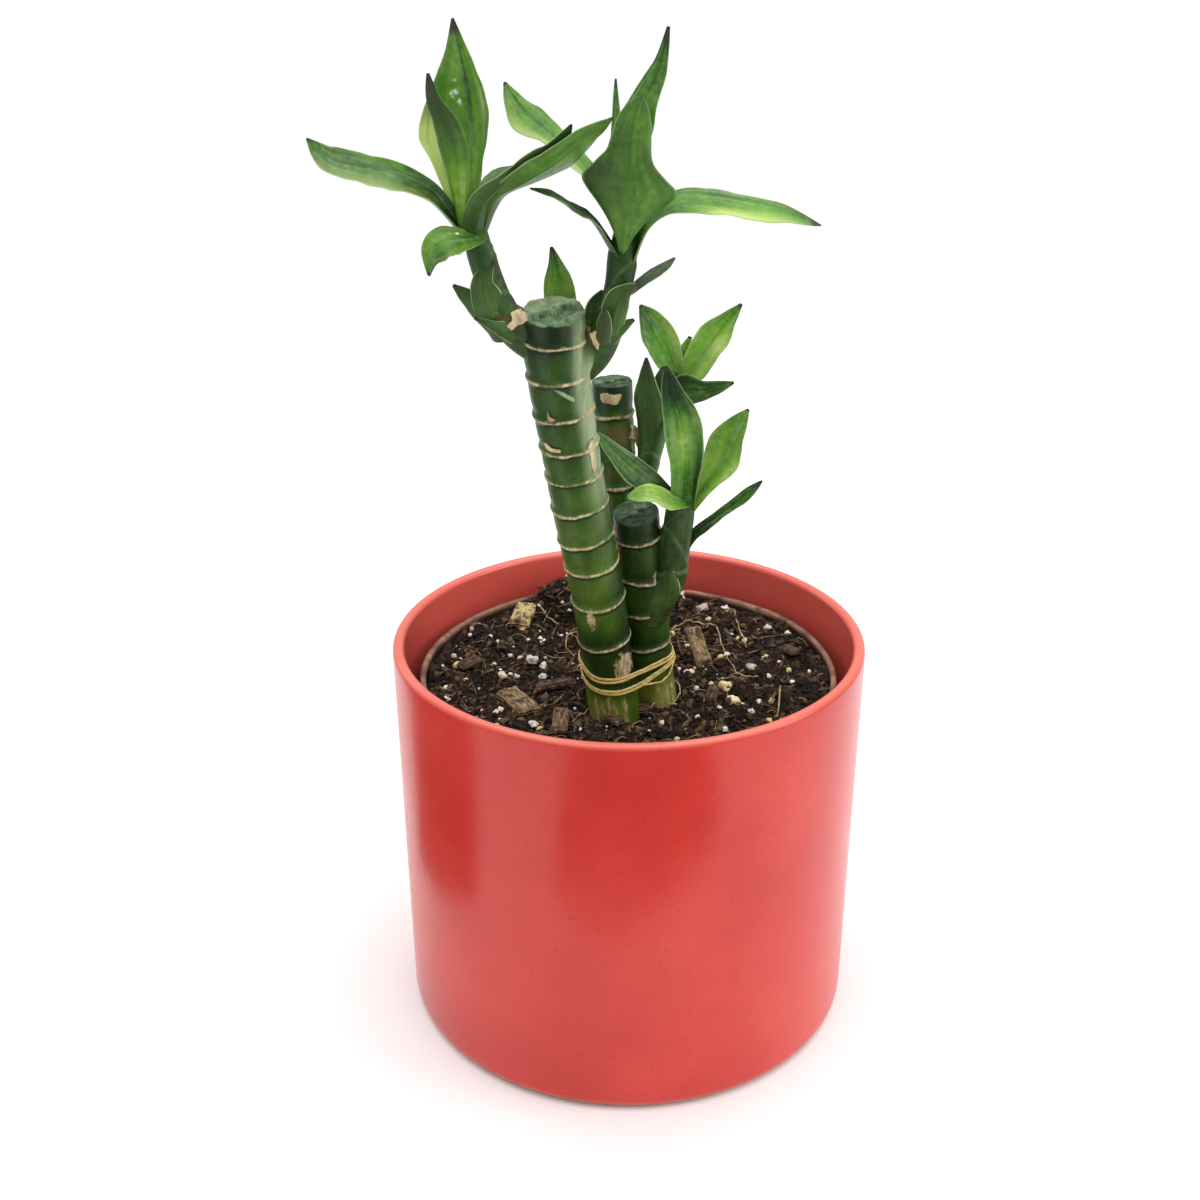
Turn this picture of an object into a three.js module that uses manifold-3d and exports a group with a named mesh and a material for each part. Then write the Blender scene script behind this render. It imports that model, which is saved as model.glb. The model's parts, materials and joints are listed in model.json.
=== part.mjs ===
// Lucky bamboo: three tied canes with leafy shoots, standing in soil in a red glazed pot.
// Millimetres, +Z up. The origin is the centre of the pot's flat foot.

import * as THREE from 'three';
import { mergeVertices } from 'three/addons/utils/BufferGeometryUtils.js';
import Module from 'manifold-3d';

const wasm = await Module();
wasm.setup();

// Pot
const POT_RADIUS = 64;
const POT_HEIGHT = 110.5;
const POT_WALL = 3.2;
const POT_FLOOR = 5;
const POT_TAPER = 0.8;
const POT_FOOT_ROUND = 4;
const POT_SIDES = 56;

// Thin brown grow pot inside the glazed pot
const LINER_RADIUS = 57.4;
const LINER_BASE_RADIUS = 50;
const LINER_WALL = 1;
const LINER_TOP = 100.5;
const LINER_RIM = 1.7;
const LINER_SIDES = 40;

// Soil
const SOIL_TOP = 97.2;
const SOIL_EDGE_RISE = 1.2;
const SOIL_CLOD_HEIGHT = 1.8;
const SOIL_CLOD_SPACING = 13;
const SOIL_RINGS = 10;
const SOIL_STEPS = 6;
// Soil heaped up behind the canes: centre, reach across and back, and height
const MOUND = { at: [-5, 44], reach: [27, 15], height: 9 };

const GAP = 0.3;

// Canes: axis from the buried end to the cut top, with the radius at each point
const CANE_TALL = {
  axis: [[0, -15.5, 62], [-3.9, -21.5, 97.2], [-6.2, -25, 117], [-8.4, -29.5, 135.7],
    [-11.3, -33.5, 153.2], [-13.7, -37, 169.6], [-15.8, -40.5, 185.3], [-17.3, -43.5, 200],
    [-17.6, -45, 208.5]],
  radius: [6.2, 6.6, 6.6, 6.6, 6.7, 6.8, 6.95, 7.3, 7],
  rings: [121.7, 134.1, 144.4, 152.4, 161.1, 169.3, 177.2, 185.6, 194.9, 203.2],
  sides: 18,
  ragged: 0.9,
};
const CANE_MIDDLE = {
  axis: [[-3, -2, 66], [-2.3, -4.8, 97], [-1.8, -6, 113.6], [-3, -6.5, 151.8],
    [-4, -6.5, 170.5], [-4.5, -6.5, 182.6]],
  radius: [4.9, 5.1, 5.1, 5.1, 5.1, 5.1],
  rings: [120, 138.5, 155.7, 174.6],
  sides: 16,
  ragged: 0.3,
};
const CANE_SHORT = {
  axis: [[11.1, -7.9, 66], [6.7, -12.6, 96], [4.6, -15.6, 113.6], [3.2, -19.8, 132.2],
    [2.2, -22.8, 145], [1.2, -25, 154.5]],
  radius: [6, 6.2, 6.2, 6.1, 5.8, 5.6],
  rings: [116.5, 127, 137.1, 148.4],
  sides: 18,
  ragged: 0.3,
};
const RING_RISE = 0.4;
const RING_HALF_HEIGHT = 0.8;

// Shoots: each stem grows out of a cane's side, and its bracts are short blades on it
const SHOOTS = {
  shoot_left: {
    axis: [[-19.5, -44, 199.8], [-25.3, -44, 203.6], [-28.9, -45, 208.8], [-31.9, -46, 217.2],
      [-33.7, -46.5, 224.8], [-34.8, -46.5, 233]],
    radius: [3.6, 3.4, 3.3, 3.1, 3, 2],
    bracts: [
      { rib: [[-28, -47.6, 205], [-31, -50.1, 212.5], [-31.6, -50.4, 217.5], [-30, -49.6, 221]],
        half: [[2.2, 2.8], [3, 3.8], [3.7, 4.2], [2.6, 2.8], [0.3, 0.3]],
        cup: [130, 120, 100, 40], face: [0.1, 1, 0] },
      { rib: [[-27.5, -44.5, 204.5], [-26.9, -44.5, 210.5], [-28.9, -45, 215.2]],
        half: [1.9, 1.6, 0.4], cup: [60, 40, 20], face: [-1, -0.3, 0.2] },
      { rib: [[-30, -45.6, 206.5], [-34.2, -46.9, 212.2], [-39.2, -47.5, 215.5]],
        half: [[2.6, 1.6], [4, 1.3], [3.6, 1], [0.3, 0.3]],
        cup: [80, 60, 20], face: [0.5, -0.6, 0.9] },
      { rib: [[-24, -46.2, 200.5], [-30, -47.2, 205.6], [-34.9, -47, 208.4]],
        half: [[3, 2.2], [4.2, 2], [2.8, 1.4], [0.3, 0.3]],
        cup: [90, 70, 20], face: [0.3, -0.4, 1] },
      { rib: [[-23.2, -42.5, 204], [-25.6, -43, 208.3], [-28.3, -44, 211.3]],
        half: [1.9, 1.4, 0.4], cup: [40, 30, 10], face: [-0.6, -0.3, 0.6] },
    ],
  },
  shoot_right: {
    axis: [[-15, -43.5, 192.5], [-11, -43.2, 196], [-8.2, -43.6, 200], [-5.7, -45, 206.2],
      [-3.6, -46.5, 214.6], [-2.5, -47.3, 222.3], [-1.7, -47.3, 230.5]],
    radius: [4, 3.9, 3.8, 3.3, 3, 3.3, 2.2],
    bracts: [
      { rib: [[-5.6, -47.4, 202.6], [-4.6, -49.6, 208.8], [-3.2, -50.6, 214.4],
          [-0.2, -50.2, 217.2]],
        half: [[2.4, 2.8], [3.3, 3.4], [3.6, 3.2], [2.4, 1.9], [0.3, 0.3]],
        cup: [130, 120, 100, 40], face: [0.1, 1, 0] },
      { rib: [[-8.4, -45, 204], [-8.9, -45.6, 209.4], [-6.9, -46.4, 213.9]],
        half: [[1.6, 1.8], [2, 1.9], [1.6, 1.6], [0.3, 0.3]],
        cup: [60, 60, 30], face: [-0.2, -1, 0] },
      { rib: [[-7, -47.4, 201.5], [-6.6, -50.6, 206.4], [-6.4, -51.6, 211.2]],
        half: [[1.6, 1.8], [1.8, 1.9], [1.6, 1.7], [0.3, 0.3]],
        cup: [90, 100, 60], face: [0.1, 1, 0.1] },
      { rib: [[-6.6, -45.4, 200.5], [-3.8, -46.6, 204.6], [0.1, -46, 207.5]],
        half: [[2, 2.4], [3, 2.4], [2.2, 1.4], [0.3, 0.3]],
        cup: [60, 50, 20], face: [-0.9, -0.5, 0.6] },
    ],
  },
  shoot_middle: {
    axis: [[-1, -6.5, 149], [3, -8, 157.5], [5.6, -9.5, 166], [7.5, -10, 174], [9.3, -10, 181],
      [10.6, -10, 186]],
    radius: [3.2, 3, 2.7, 2.4, 2.2, 1.5],
    bracts: [
      { rib: [[3.6, -9.4, 161], [4.6, -12, 172], [3.7, -13.4, 182], [3.8, -13.4, 190.4]],
        half: [[2.4, 2.8], [3.2, 3.6], [3.5, 4.3], [3, 3.8], [1.3, 1.4], [0.3, 0.3]],
        cup: [130, 110, 90, 30], face: [0.2, 1, 0] },
    ],
  },
  shoot_short: {
    axis: [[4.6, -19.5, 124.5], [7, -21, 130], [9.8, -23, 137.9], [11.2, -26, 148.9],
      [12, -28, 158.8], [12.6, -29, 166]],
    radius: [4.2, 4.2, 4, 3.7, 3.7, 2.2],
    bracts: [
      { rib: [[7.6, -23.5, 128.5], [9.4, -27, 134.6], [9.6, -28.4, 141]],
        half: [3.6, 3.3, 0.6], cup: [130, 110, 60], face: [0.1, 1, 0.2] },
    ],
  },
};
const SHOOT_SIDES = 12;

// Leaves: midrib points, half widths left and right of it, cupping in degrees,
// and the way that the upper side faces at the root
const LEAF_THICKNESS = 0.7;
const LEAVES = {
  leaf_left_tall: {
    steps: 12,
    rib: [[-36, -46, 227], [-35.2, -44.2, 236], [-34.1, -42.8, 244.5], [-34.8, -42, 253],
      [-36, -42, 261], [-37.4, -43, 269]],
    half: [[1.6, 2.6], [4.4, 3.8], [8, 3.8], [11.6, 4], [11.8, 5], [9.2, 5.2], [6, 3.8], [2.5, 1.7],
      [0.3, 0.3]],
    cup: [110, 80, 65, 60, 50, 10], face: [-0.45, -0.85, 0.2],
  },
  leaf_left_folded: {
    steps: 11,
    rib: [[-36.4, -48.6, 226.5], [-36.5, -50.4, 235], [-36.8, -51.4, 242.5], [-38.6, -52.2, 249],
      [-41, -53, 254], [-41.8, -54, 259.2]],
    half: [[1, 1.2], [1.4, 2.6], [2.2, 4.2], [2.6, 4.8], [2.7, 4.2], [1.9, 2.7], [1.2, 1.4],
      [0.3, 0.3]],
    cup: [120, 100, 80, 70, 20], face: [0.3, 0.9, 0.1],
  },
  leaf_left_far: {
    steps: 12,
    rib: [[-36.2, -46.5, 225.5], [-42.4, -47.3, 234.4], [-50, -48.2, 238.5], [-57, -49.5, 240.2],
      [-63.5, -51, 242.3], [-67.5, -52, 246.5]],
    half: [[2.4, 1.8], [4.6, 2], [6.2, 2.5], [6.4, 3.1], [5.8, 3.4], [5.8, 3.8], [5.2, 3.6],
      [3.4, 2.4], [0.3, 0.3]],
    cup: [140, 100, 60, 50, 40, 10], face: [0.3, -0.45, 0.85],
  },
  leaf_left_dark: {
    steps: 12,
    rib: [[-34.2, -49, 225], [-32.2, -51.8, 233.2], [-26.7, -55, 238.5], [-21.6, -57.2, 242.2],
      [-16.6, -59.2, 245.2], [-13, -61, 250]],
    half: [[3, 3], [5, 3], [5.8, 2.4], [5, 1.9], [4.6, 2.1], [5, 2.4], [2.8, 1.8], [0.3, 0.3]],
    cup: [150, 120, 70, 55, 50, 10], face: [-0.5, 0.8, 0.3],
  },
  leaf_left_sweep: {
    steps: 12,
    rib: [[-32.4, -46.5, 226.5], [-29.6, -50.4, 234], [-23.5, -54.4, 238], [-16.5, -57.5, 242.4],
      [-10, -60, 248], [-4.8, -61, 251.3]],
    half: [[2.4, 1.8], [3.8, 1.6], [5.6, 2.4], [6.8, 3.8], [8, 4.6], [8, 4.5], [6.6, 3.3], [3.6, 1.7],
      [0.3, 0.3]],
    cup: [130, 90, 50, 45, 35, 10], face: [-0.5, 0.7, 0.5],
  },
  leaf_left_curled: {
    steps: 10,
    rib: [[-31.6, -48.4, 226.2], [-35.6, -51.3, 226], [-40, -53.4, 225.8], [-43, -54.4, 223],
      [-43.6, -54, 218.7]],
    half: [[1, 0.8], [2.6, 1.8], [3.8, 2.6], [4.6, 3.6], [4.2, 3], [2, 1.4], [0.3, 0.3]],
    cup: [60, 45, 40, 40, 10], face: [-0.1, -0.75, 0.6],
  },
  leaf_left_back: {
    steps: 8,
    rib: [[-33.4, -43, 227], [-30.8, -38, 233.4], [-28.6, -33.5, 236.8], [-26.4, -30, 238]],
    half: [[3, 3], [3.6, 3.6], [3, 3], [0.4, 0.4]],
    cup: [120, 70, 50, 20], face: [-0.4, -0.6, 0.6],
  },
  leaf_right_broad: {
    steps: 18,
    rib: [[-2.6, -50.2, 222], [-2.7, -51.6, 230], [-0.9, -53.4, 236.5], [-1.3, -53.4, 242.2],
      [-0.9, -52.3, 248.4], [1.4, -51, 254.4]],
    half: [[0.7, 0.7], [1.6, 1.5], [4.4, 3.3], [8.4, 6], [10.9, 9.2], [7.8, 10.1], [5.2, 7.6],
      [4.5, 5.2], [4.3, 4.5], [3.9, 3.9], [2.5, 2.6], [0.3, 0.3]],
    cup: [60, 60, 55, 50, 60, 30], face: [0, 1, 0],
  },
  leaf_right_up: {
    steps: 12,
    rib: [[-2.4, -45.4, 226.5], [-2.4, -42.8, 235.4], [-0.8, -41.3, 244.2], [1.5, -40.2, 252.2],
      [5, -39.3, 259.2], [7, -39, 267.1]],
    half: [[1.8, 1.8], [2.4, 2.8], [3.3, 3.5], [4, 4], [4, 4.1], [2.5, 3.4], [1.9, 2.4], [0.9, 1.2],
      [0.3, 0.3]],
    cup: [130, 90, 70, 60, 40, 10], face: [0, -1, 0.2],
  },
  leaf_right_narrow: {
    steps: 9,
    rib: [[-3.4, -47, 227], [-4.2, -47.6, 237], [-4.1, -48.1, 247.5], [-4.1, -48.2, 257.6]],
    half: [[1.6, 1.4], [3, 1.8], [3.4, 2.4], [3, 2.2], [1.5, 1.1], [0.3, 0.3]],
    cup: [120, 80, 60, 20], face: [0.8, -0.6, 0],
  },
  leaf_right_crossing: {
    steps: 12,
    rib: [[-2.7, -45.6, 226], [-6.6, -40.6, 234], [-12, -36.3, 240], [-18.2, -33.2, 245],
      [-24, -31.6, 249.5], [-27.9, -31, 255.6]],
    half: [[2.2, 1.2], [2.5, 1.6], [2.6, 1.8], [2.9, 2], [3.4, 2.4], [4.2, 3], [5.4, 3.5], [3.2, 2],
      [0.3, 0.3]],
    cup: [130, 90, 50, 45, 30, 10], face: [0.4, -0.9, 0.35],
  },
  leaf_right_far: {
    steps: 12,
    rib: [[-0.8, -46.5, 219.5], [2.2, -47, 228], [8.4, -46, 232.7], [16.5, -44.7, 232.5],
      [25, -43, 230.9], [33, -41.7, 229.3], [40.7, -40, 226.5]],
    half: [[2, 3], [2, 4], [1.8, 4.4], [2.6, 6.2], [3.2, 7.4], [3.5, 7.3], [3.4, 6.6], [2.9, 5],
      [1.9, 3], [0.3, 0.3]],
    cup: [130, 90, 55, 50, 40, 30, 10], face: [-0.4, -0.45, 0.8],
  },
  leaf_right_edge: {
    steps: 9,
    rib: [[-4.2, -48.2, 221.5], [-8.6, -50.2, 229.2], [-13, -52.5, 232.6], [-17.5, -54.6, 235.6],
      [-21.7, -56, 236.9]],
    half: [[2.4, 1.8], [2.8, 1.6], [3, 1.3], [2.6, 1.2], [1.6, 1], [0.3, 0.3]],
    cup: [110, 60, 50, 40, 10], face: [0.5, -0.2, 0.8],
  },
  leaf_right_small: {
    steps: 7,
    rib: [[-1.6, -46.6, 213], [2.2, -44.8, 215.8], [5.7, -42.2, 217.7], [9, -40, 219.6]],
    half: [[1.2, 1.6], [1.4, 2.6], [1.3, 2.6], [0.3, 0.3]],
    cup: [60, 50, 40, 10], face: [-0.5, -0.5, 0.7],
  },
  leaf_bud: {
    steps: 9,
    rib: [[-16.6, -36.4, 201], [-16.4, -35.6, 209.5], [-17.2, -35, 216.5], [-18.2, -35.2, 221.2]],
    half: [[2.6, 2.6], [3.7, 3.7], [3.4, 3.4], [1.5, 1.5], [0.3, 0.3]],
    cup: [60, 60, 50, 20], face: [0, -1, 0],
  },
  leaf_middle_upright: {
    steps: 10,
    rib: [[10.4, -10, 178.5], [11, -9.8, 185.5], [9, -9, 191.5], [5.6, -7.2, 197], [2.4, -6, 201.6]],
    half: [[2.4, 2.4], [3.2, 2.2], [4, 2.6], [4.8, 3.5], [4.7, 3.8], [2.6, 2.6], [0.3, 0.3]],
    cup: [130, 90, 60, 50, 10], face: [0.2, -1, 0.2],
  },
  leaf_middle_right: {
    steps: 10,
    rib: [[10.6, -9.8, 178.5], [14, -9.7, 184.5], [18.3, -9, 191.3], [22.6, -7.9, 196.8],
      [27.2, -7, 202]],
    half: [[2.2, 2.4], [2.6, 3.2], [3.3, 4.3], [3.9, 4.4], [3.8, 4.3], [1.9, 2.1], [0.3, 0.3]],
    cup: [130, 90, 60, 50, 10], face: [-0.3, -1, 0.3],
  },
  leaf_middle_low: {
    steps: 9,
    rib: [[9.4, -10.8, 177.5], [12.8, -12.6, 182], [18, -15.2, 182.8], [24.9, -18, 185.3]],
    half: [[2.4, 2.8], [3.4, 4.6], [3.6, 4.8], [2.5, 3.3], [1.5, 2], [0.3, 0.3]],
    cup: [90, 60, 50, 10], face: [-0.2, -0.75, 0.65],
  },
  leaf_middle_inner: {
    steps: 8,
    rib: [[11, -8.6, 181], [12.4, -8, 188], [14.8, -7.2, 194]],
    half: [[2, 2], [2.2, 2.2], [0.4, 0.4]],
    cup: [110, 80, 30], face: [0, -1, 0],
  },
  leaf_short_tall: {
    steps: 12,
    rib: [[12.4, -29.6, 158], [12.4, -31.4, 165.5], [12.4, -33, 172.5], [11.5, -34.1, 180],
      [9.4, -35, 187], [7.6, -36, 194.3]],
    half: [[2.2, 2], [2.8, 2.8], [3.4, 4], [4.3, 5], [4.6, 5.1], [3.8, 4.2], [2.3, 2.3], [0.3, 0.3]],
    cup: [150, 110, 90, 80, 60, 20], face: [0, -1, 0.2],
  },
  leaf_short_right: {
    steps: 10,
    rib: [[14.4, -28, 156.8], [17.8, -26.8, 162.4], [21.7, -25.6, 168], [24.5, -24.7, 174.3],
      [28.1, -24, 180.4]],
    half: [[1.8, 2.4], [2, 2.8], [3.2, 4], [4.6, 5], [4.9, 4.2], [2.9, 2.4], [0.3, 0.3]],
    cup: [140, 90, 60, 50, 10], face: [-0.4, -0.9, 0.4],
  },
  leaf_short_dark: {
    steps: 10,
    rib: [[10.6, -29.2, 159], [6.6, -31, 163], [2, -33.3, 167.3], [-3.4, -36, 173], [-8.9, -38, 179.5]],
    half: [[1.8, 1.8], [3, 2], [4.2, 2.6], [4.4, 2.9], [3.9, 2.5], [2.2, 1.6], [0.3, 0.3]],
    cup: [120, 90, 60, 50, 20], face: [0.5, -0.7, 0.3],
  },
  leaf_short_curled: {
    steps: 9,
    rib: [[13.6, -30.6, 158.6], [9.4, -35, 161], [4, -37.8, 164], [-1.4, -38.8, 163.3]],
    half: [[1, 1], [1.8, 1.4], [3.6, 2.5], [3.9, 2.7], [2.4, 1.9], [0.3, 0.3]],
    cup: [60, 60, 60, 30], face: [0, -0.7, 0.7],
  },
  leaf_short_low: {
    steps: 10,
    rib: [[12.8, -24.3, 142], [15.4, -24.9, 148], [20.8, -25, 153], [26.6, -25, 157.6],
      [32, -25, 162.6]],
    half: [[2, 2.4], [1.5, 1.9], [1.6, 2], [1.3, 1.7], [1.5, 1.8], [1.5, 1.8], [0.3, 0.3]],
    cup: [90, 60, 50, 40, 10], face: [-0.4, -0.5, 0.75],
  },
};

// Straw tie wound round the three canes
const TIE_RADIUS = 0.5;
const TIE_TURNS = 2.7;
const TIE_LOW = 107.2;
const TIE_PITCH = 2.1;
const TIE_SLOPE = 0.03;
const TIE_STEPS = 72;
const TIE_SIDES = 5;

// Bark chips lying on the soil: centre, length, width and height, turn and lean in degrees
const CHIPS = {
  bark_chip_right: { at: [19.8, 9], size: [13, 5, 2.4], turn: 107, lean: 33 },
  bark_chip_left: { at: [-29.5, -19.5], size: [14, 6.5, 2.6], turn: -59, lean: 0 },
  bark_chip_front: { at: [-18, -30], size: [12, 4.6, 2.2], turn: 88, lean: 0 },
  bark_chip_back: { at: [-30.5, 33], size: [9, 6.5, 3], turn: 75, lean: 20 },
};

const COLOURS = {
  pot: '#c8463c',
  liner: '#5a3c26',
  soil: '#3d2a1b',
  cane: '#3f6336',
  shoot: '#3f6a36',
  leaf: '#4f8a3c',
  tie: '#cdb96e',
  bark: '#826955',
};

// Small helpers
const vec = (p) => new THREE.Vector3(p[0], p[1], p[2]);
const lerp = (a, b, t) => a + (b - a) * t;

function sampleAt(values, t) {
  // Smooth run through the values, evenly spaced over 0 to 1
  const x = t * (values.length - 1);
  const i = Math.min(Math.floor(x), values.length - 2);
  const f = x - i;
  const a = values[Math.max(i - 1, 0)];
  const b = values[i];
  const c = values[i + 1];
  const d = values[Math.min(i + 2, values.length - 1)];
  const m1 = (c - a) / 2;
  const m2 = (d - b) / 2;
  const f2 = f * f;
  const f3 = f2 * f;
  return (2 * f3 - 3 * f2 + 1) * b + (f3 - 2 * f2 + f) * m1 + (3 * f2 - 2 * f3) * c + (f3 - f2) * m2;
}

function pointAt(points, t) {
  return new THREE.Vector3(
    sampleAt(points.map((p) => p[0]), t),
    sampleAt(points.map((p) => p[1]), t),
    sampleAt(points.map((p) => p[2]), t),
  );
}

function tangentAt(points, t) {
  const step = 0.004;
  return pointAt(points, Math.min(t + step, 1)).sub(pointAt(points, Math.max(t - step, 0))).normalize();
}

function geometryFrom(points, triangles) {
  const geometry = new THREE.BufferGeometry();
  geometry.setAttribute('position', new THREE.Float32BufferAttribute(points.flat(), 3));
  geometry.setIndex(triangles.flat());
  return geometry;
}

function toSolid(geometry) {
  const plain = geometry.clone();
  plain.deleteAttribute('normal');
  plain.deleteAttribute('uv');
  const merged = mergeVertices(plain, 1e-5);
  return new wasm.Manifold(new wasm.Mesh({
    numProp: 3,
    vertProperties: new Float32Array(merged.attributes.position.array),
    triVerts: new Uint32Array(merged.index.array),
  }));
}

function outerShell(solid) {
  // Keeps the largest closed shell, which drops the scraps of a cut and fills a sealed hollow
  const mesh = solid.getMesh();
  const vertices = mesh.vertProperties;
  const triangles = mesh.triVerts;
  const group = Array.from({ length: vertices.length / 3 }, (_, i) => i);
  const find = (i) => {
    let root = i;
    while (group[root] !== root) {
      root = group[root];
    }
    group[i] = root;
    return root;
  };
  for (let i = 0; i < triangles.length; i += 3) {
    group[find(triangles[i + 1])] = find(triangles[i]);
    group[find(triangles[i + 2])] = find(triangles[i]);
  }
  const corner = (i) => new THREE.Vector3().fromArray(vertices, triangles[i] * 3);
  const volumes = new Map();
  for (let i = 0; i < triangles.length; i += 3) {
    const root = find(triangles[i]);
    const share = corner(i).dot(corner(i + 1).cross(corner(i + 2))) / 6;
    volumes.set(root, (volumes.get(root) || 0) + share);
  }
  const kept = [...volumes.entries()].sort((a, b) => b[1] - a[1])[0][0];
  const index = [];
  for (let i = 0; i < triangles.length; i += 3) {
    if (find(triangles[i]) === kept) {
      index.push(triangles[i], triangles[i + 1], triangles[i + 2]);
    }
  }
  const geometry = new THREE.BufferGeometry();
  geometry.setAttribute('position', new THREE.Float32BufferAttribute(new Float32Array(vertices), 3));
  geometry.setIndex(index);
  return mergeVertices(geometry, 1e-6);
}

// A round stem or cane along an axis, with stations given as [place along the axis, radius]
function roundStem(axis, stations, sides, topShift) {
  const points = [];
  const triangles = [];
  let side = new THREE.Vector3(1, 0, 0);
  stations.forEach(([t, radius], row) => {
    const centre = pointAt(axis, t);
    const along = tangentAt(axis, t);
    side = side.clone().addScaledVector(along, -side.dot(along)).normalize();
    const other = new THREE.Vector3().crossVectors(along, side);
    for (let k = 0; k < sides; k += 1) {
      const angle = (k / sides) * 2 * Math.PI;
      const p = centre.clone()
        .addScaledVector(side, radius * Math.cos(angle))
        .addScaledVector(other, radius * Math.sin(angle));
      if (topShift && row === stations.length - 1) {
        p.addScaledVector(along, topShift(k));
      }
      points.push([p.x, p.y, p.z]);
    }
  });
  for (let row = 0; row < stations.length - 1; row += 1) {
    for (let k = 0; k < sides; k += 1) {
      const a = row * sides + k;
      const b = row * sides + ((k + 1) % sides);
      triangles.push([a, b, b + sides], [a, b + sides, a + sides]);
    }
  }
  const last = (stations.length - 1) * sides;
  const low = pointAt(axis, stations[0][0]);
  const high = pointAt(axis, stations[stations.length - 1][0]);
  points.push([low.x, low.y, low.z], [high.x, high.y, high.z]);
  for (let k = 0; k < sides; k += 1) {
    const next = (k + 1) % sides;
    triangles.push([points.length - 2, next, k], [points.length - 1, last + k, last + next]);
  }
  return geometryFrom(points, triangles);
}

// Place along a cane's axis where it reaches a height
function placeAtHeight(axis, z) {
  let low = 0;
  let high = 1;
  for (let i = 0; i < 40; i += 1) {
    const middle = (low + high) / 2;
    if (pointAt(axis, middle).z < z) {
      low = middle;
    } else {
      high = middle;
    }
  }
  return (low + high) / 2;
}

function cane(spec, extra = 0) {
  const stations = [[0, sampleAt(spec.radius, 0) + extra]];
  const bottom = spec.axis[0][2];
  const top = spec.axis[spec.axis.length - 1][2];
  let z = bottom;
  const heights = [];
  for (const ring of spec.rings) {
    if (z === bottom) {
      heights.push([ring - 8, 0]);
    }
    heights.push([ring - RING_HALF_HEIGHT, 0], [ring, RING_RISE], [ring + RING_HALF_HEIGHT, 0]);
    z = ring;
  }
  heights.forEach(([height, rise]) => {
    const t = placeAtHeight(spec.axis, height);
    stations.push([t, sampleAt(spec.radius, t) + rise + extra]);
  });
  stations.push([placeAtHeight(spec.axis, top - 0.6), sampleAt(spec.radius, 1) + 0.15 + extra]);
  stations.push([1, sampleAt(spec.radius, 1) - 0.3 + extra]);
  const ragged = (k) => spec.ragged * (Math.sin(k * 2.3) * 0.6 + Math.sin(k * 5.1 + 1) * 0.4);
  return roundStem(spec.axis, stations, spec.sides, ragged);
}

function plainCane(spec, extra) {
  // The hole that the cane stands in, and the space that its neighbours keep clear of
  const stations = [];
  for (let i = 0; i <= 12; i += 1) {
    const t = i / 12;
    stations.push([t, sampleAt(spec.radius, t) + extra]);
  }
  return roundStem(spec.axis, stations, spec.sides, null);
}

function shootStem(spec, extra) {
  const stations = [];
  for (let i = 0; i <= 9; i += 1) {
    const t = i / 9;
    stations.push([t, sampleAt(spec.radius, t) + extra]);
  }
  return roundStem(spec.axis, stations, SHOOT_SIDES, null);
}

// A leaf or bract: a cupped blade of even thickness along its midrib
function blade(spec, thickness, grow = 0) {
  const steps = spec.steps || 7;
  const across = spec.across || 4;
  const left = spec.half.map((h) => (Array.isArray(h) ? h[0] : h));
  const right = spec.half.map((h) => (Array.isArray(h) ? h[1] : h));
  const roll = spec.roll || [0, 0];
  const top = [];
  const under = [];
  let facing = vec(spec.face);
  for (let i = 0; i <= steps; i += 1) {
    const t = i / steps;
    const middle = pointAt(spec.rib, t);
    const along = tangentAt(spec.rib, t);
    facing = facing.clone().addScaledVector(along, -facing.dot(along)).normalize();
    const turned = facing.clone().applyAxisAngle(along, THREE.MathUtils.degToRad(sampleAt(roll, t)));
    const wide = new THREE.Vector3().crossVectors(along, turned);
    const cup = THREE.MathUtils.degToRad(Math.max(sampleAt(spec.cup, t), 4));
    for (let j = 0; j <= across; j += 1) {
      const q = (j / across) * 2 - 1;
      const half = Math.max(sampleAt(q < 0 ? left : right, t), 0.35) + grow;
      const angle = (q * cup) / 2;
      const bend = half / (cup / 2);
      const centre = middle.clone()
        .addScaledVector(wide, bend * Math.sin(angle))
        .addScaledVector(turned, bend * (1 - Math.cos(angle)));
      const out = turned.clone().multiplyScalar(Math.cos(angle)).addScaledVector(wide, -Math.sin(angle));
      const lift = thickness / 2 + grow;
      const a = centre.clone().addScaledVector(out, lift);
      if (spec.filled && j > 0 && j < across) {
        // The hollow of a bract is filled up to the line between its margins
        a.addScaledVector(turned, bend * (Math.cos(angle) - Math.cos(cup / 2)));
      }
      const b = centre.clone().addScaledVector(out, -lift);
      top.push([a.x, a.y, a.z]);
      under.push([b.x, b.y, b.z]);
    }
  }
  const row = across + 1;
  const count = top.length;
  const triangles = [];
  for (let i = 0; i < steps; i += 1) {
    for (let j = 0; j < across; j += 1) {
      const a = i * row + j;
      const b = a + 1;
      const c = a + row;
      const d = c + 1;
      triangles.push([a, d, c], [a, b, d]);
      triangles.push([count + a, count + c, count + d], [count + a, count + d, count + b]);
    }
    const l = i * row;
    const r = i * row + across;
    triangles.push([l, count + l + row, count + l], [l, l + row, count + l + row]);
    triangles.push([r, count + r + row, r + row], [r, count + r, count + r + row]);
  }
  for (let j = 0; j < across; j += 1) {
    const e = steps * row + j;
    triangles.push([j, count + j + 1, j + 1], [j, count + j, count + j + 1]);
    triangles.push([e, count + e + 1, count + e], [e, e + 1, count + e + 1]);
  }
  const geometry = geometryFrom(top.concat(under), triangles);
  return geometry;
}

// Turned shapes
function turned(profile, sides) {
  return new THREE.LatheGeometry(profile.map(([r, z]) => new THREE.Vector2(r, z)), sides)
    .rotateX(Math.PI / 2);
}

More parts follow.
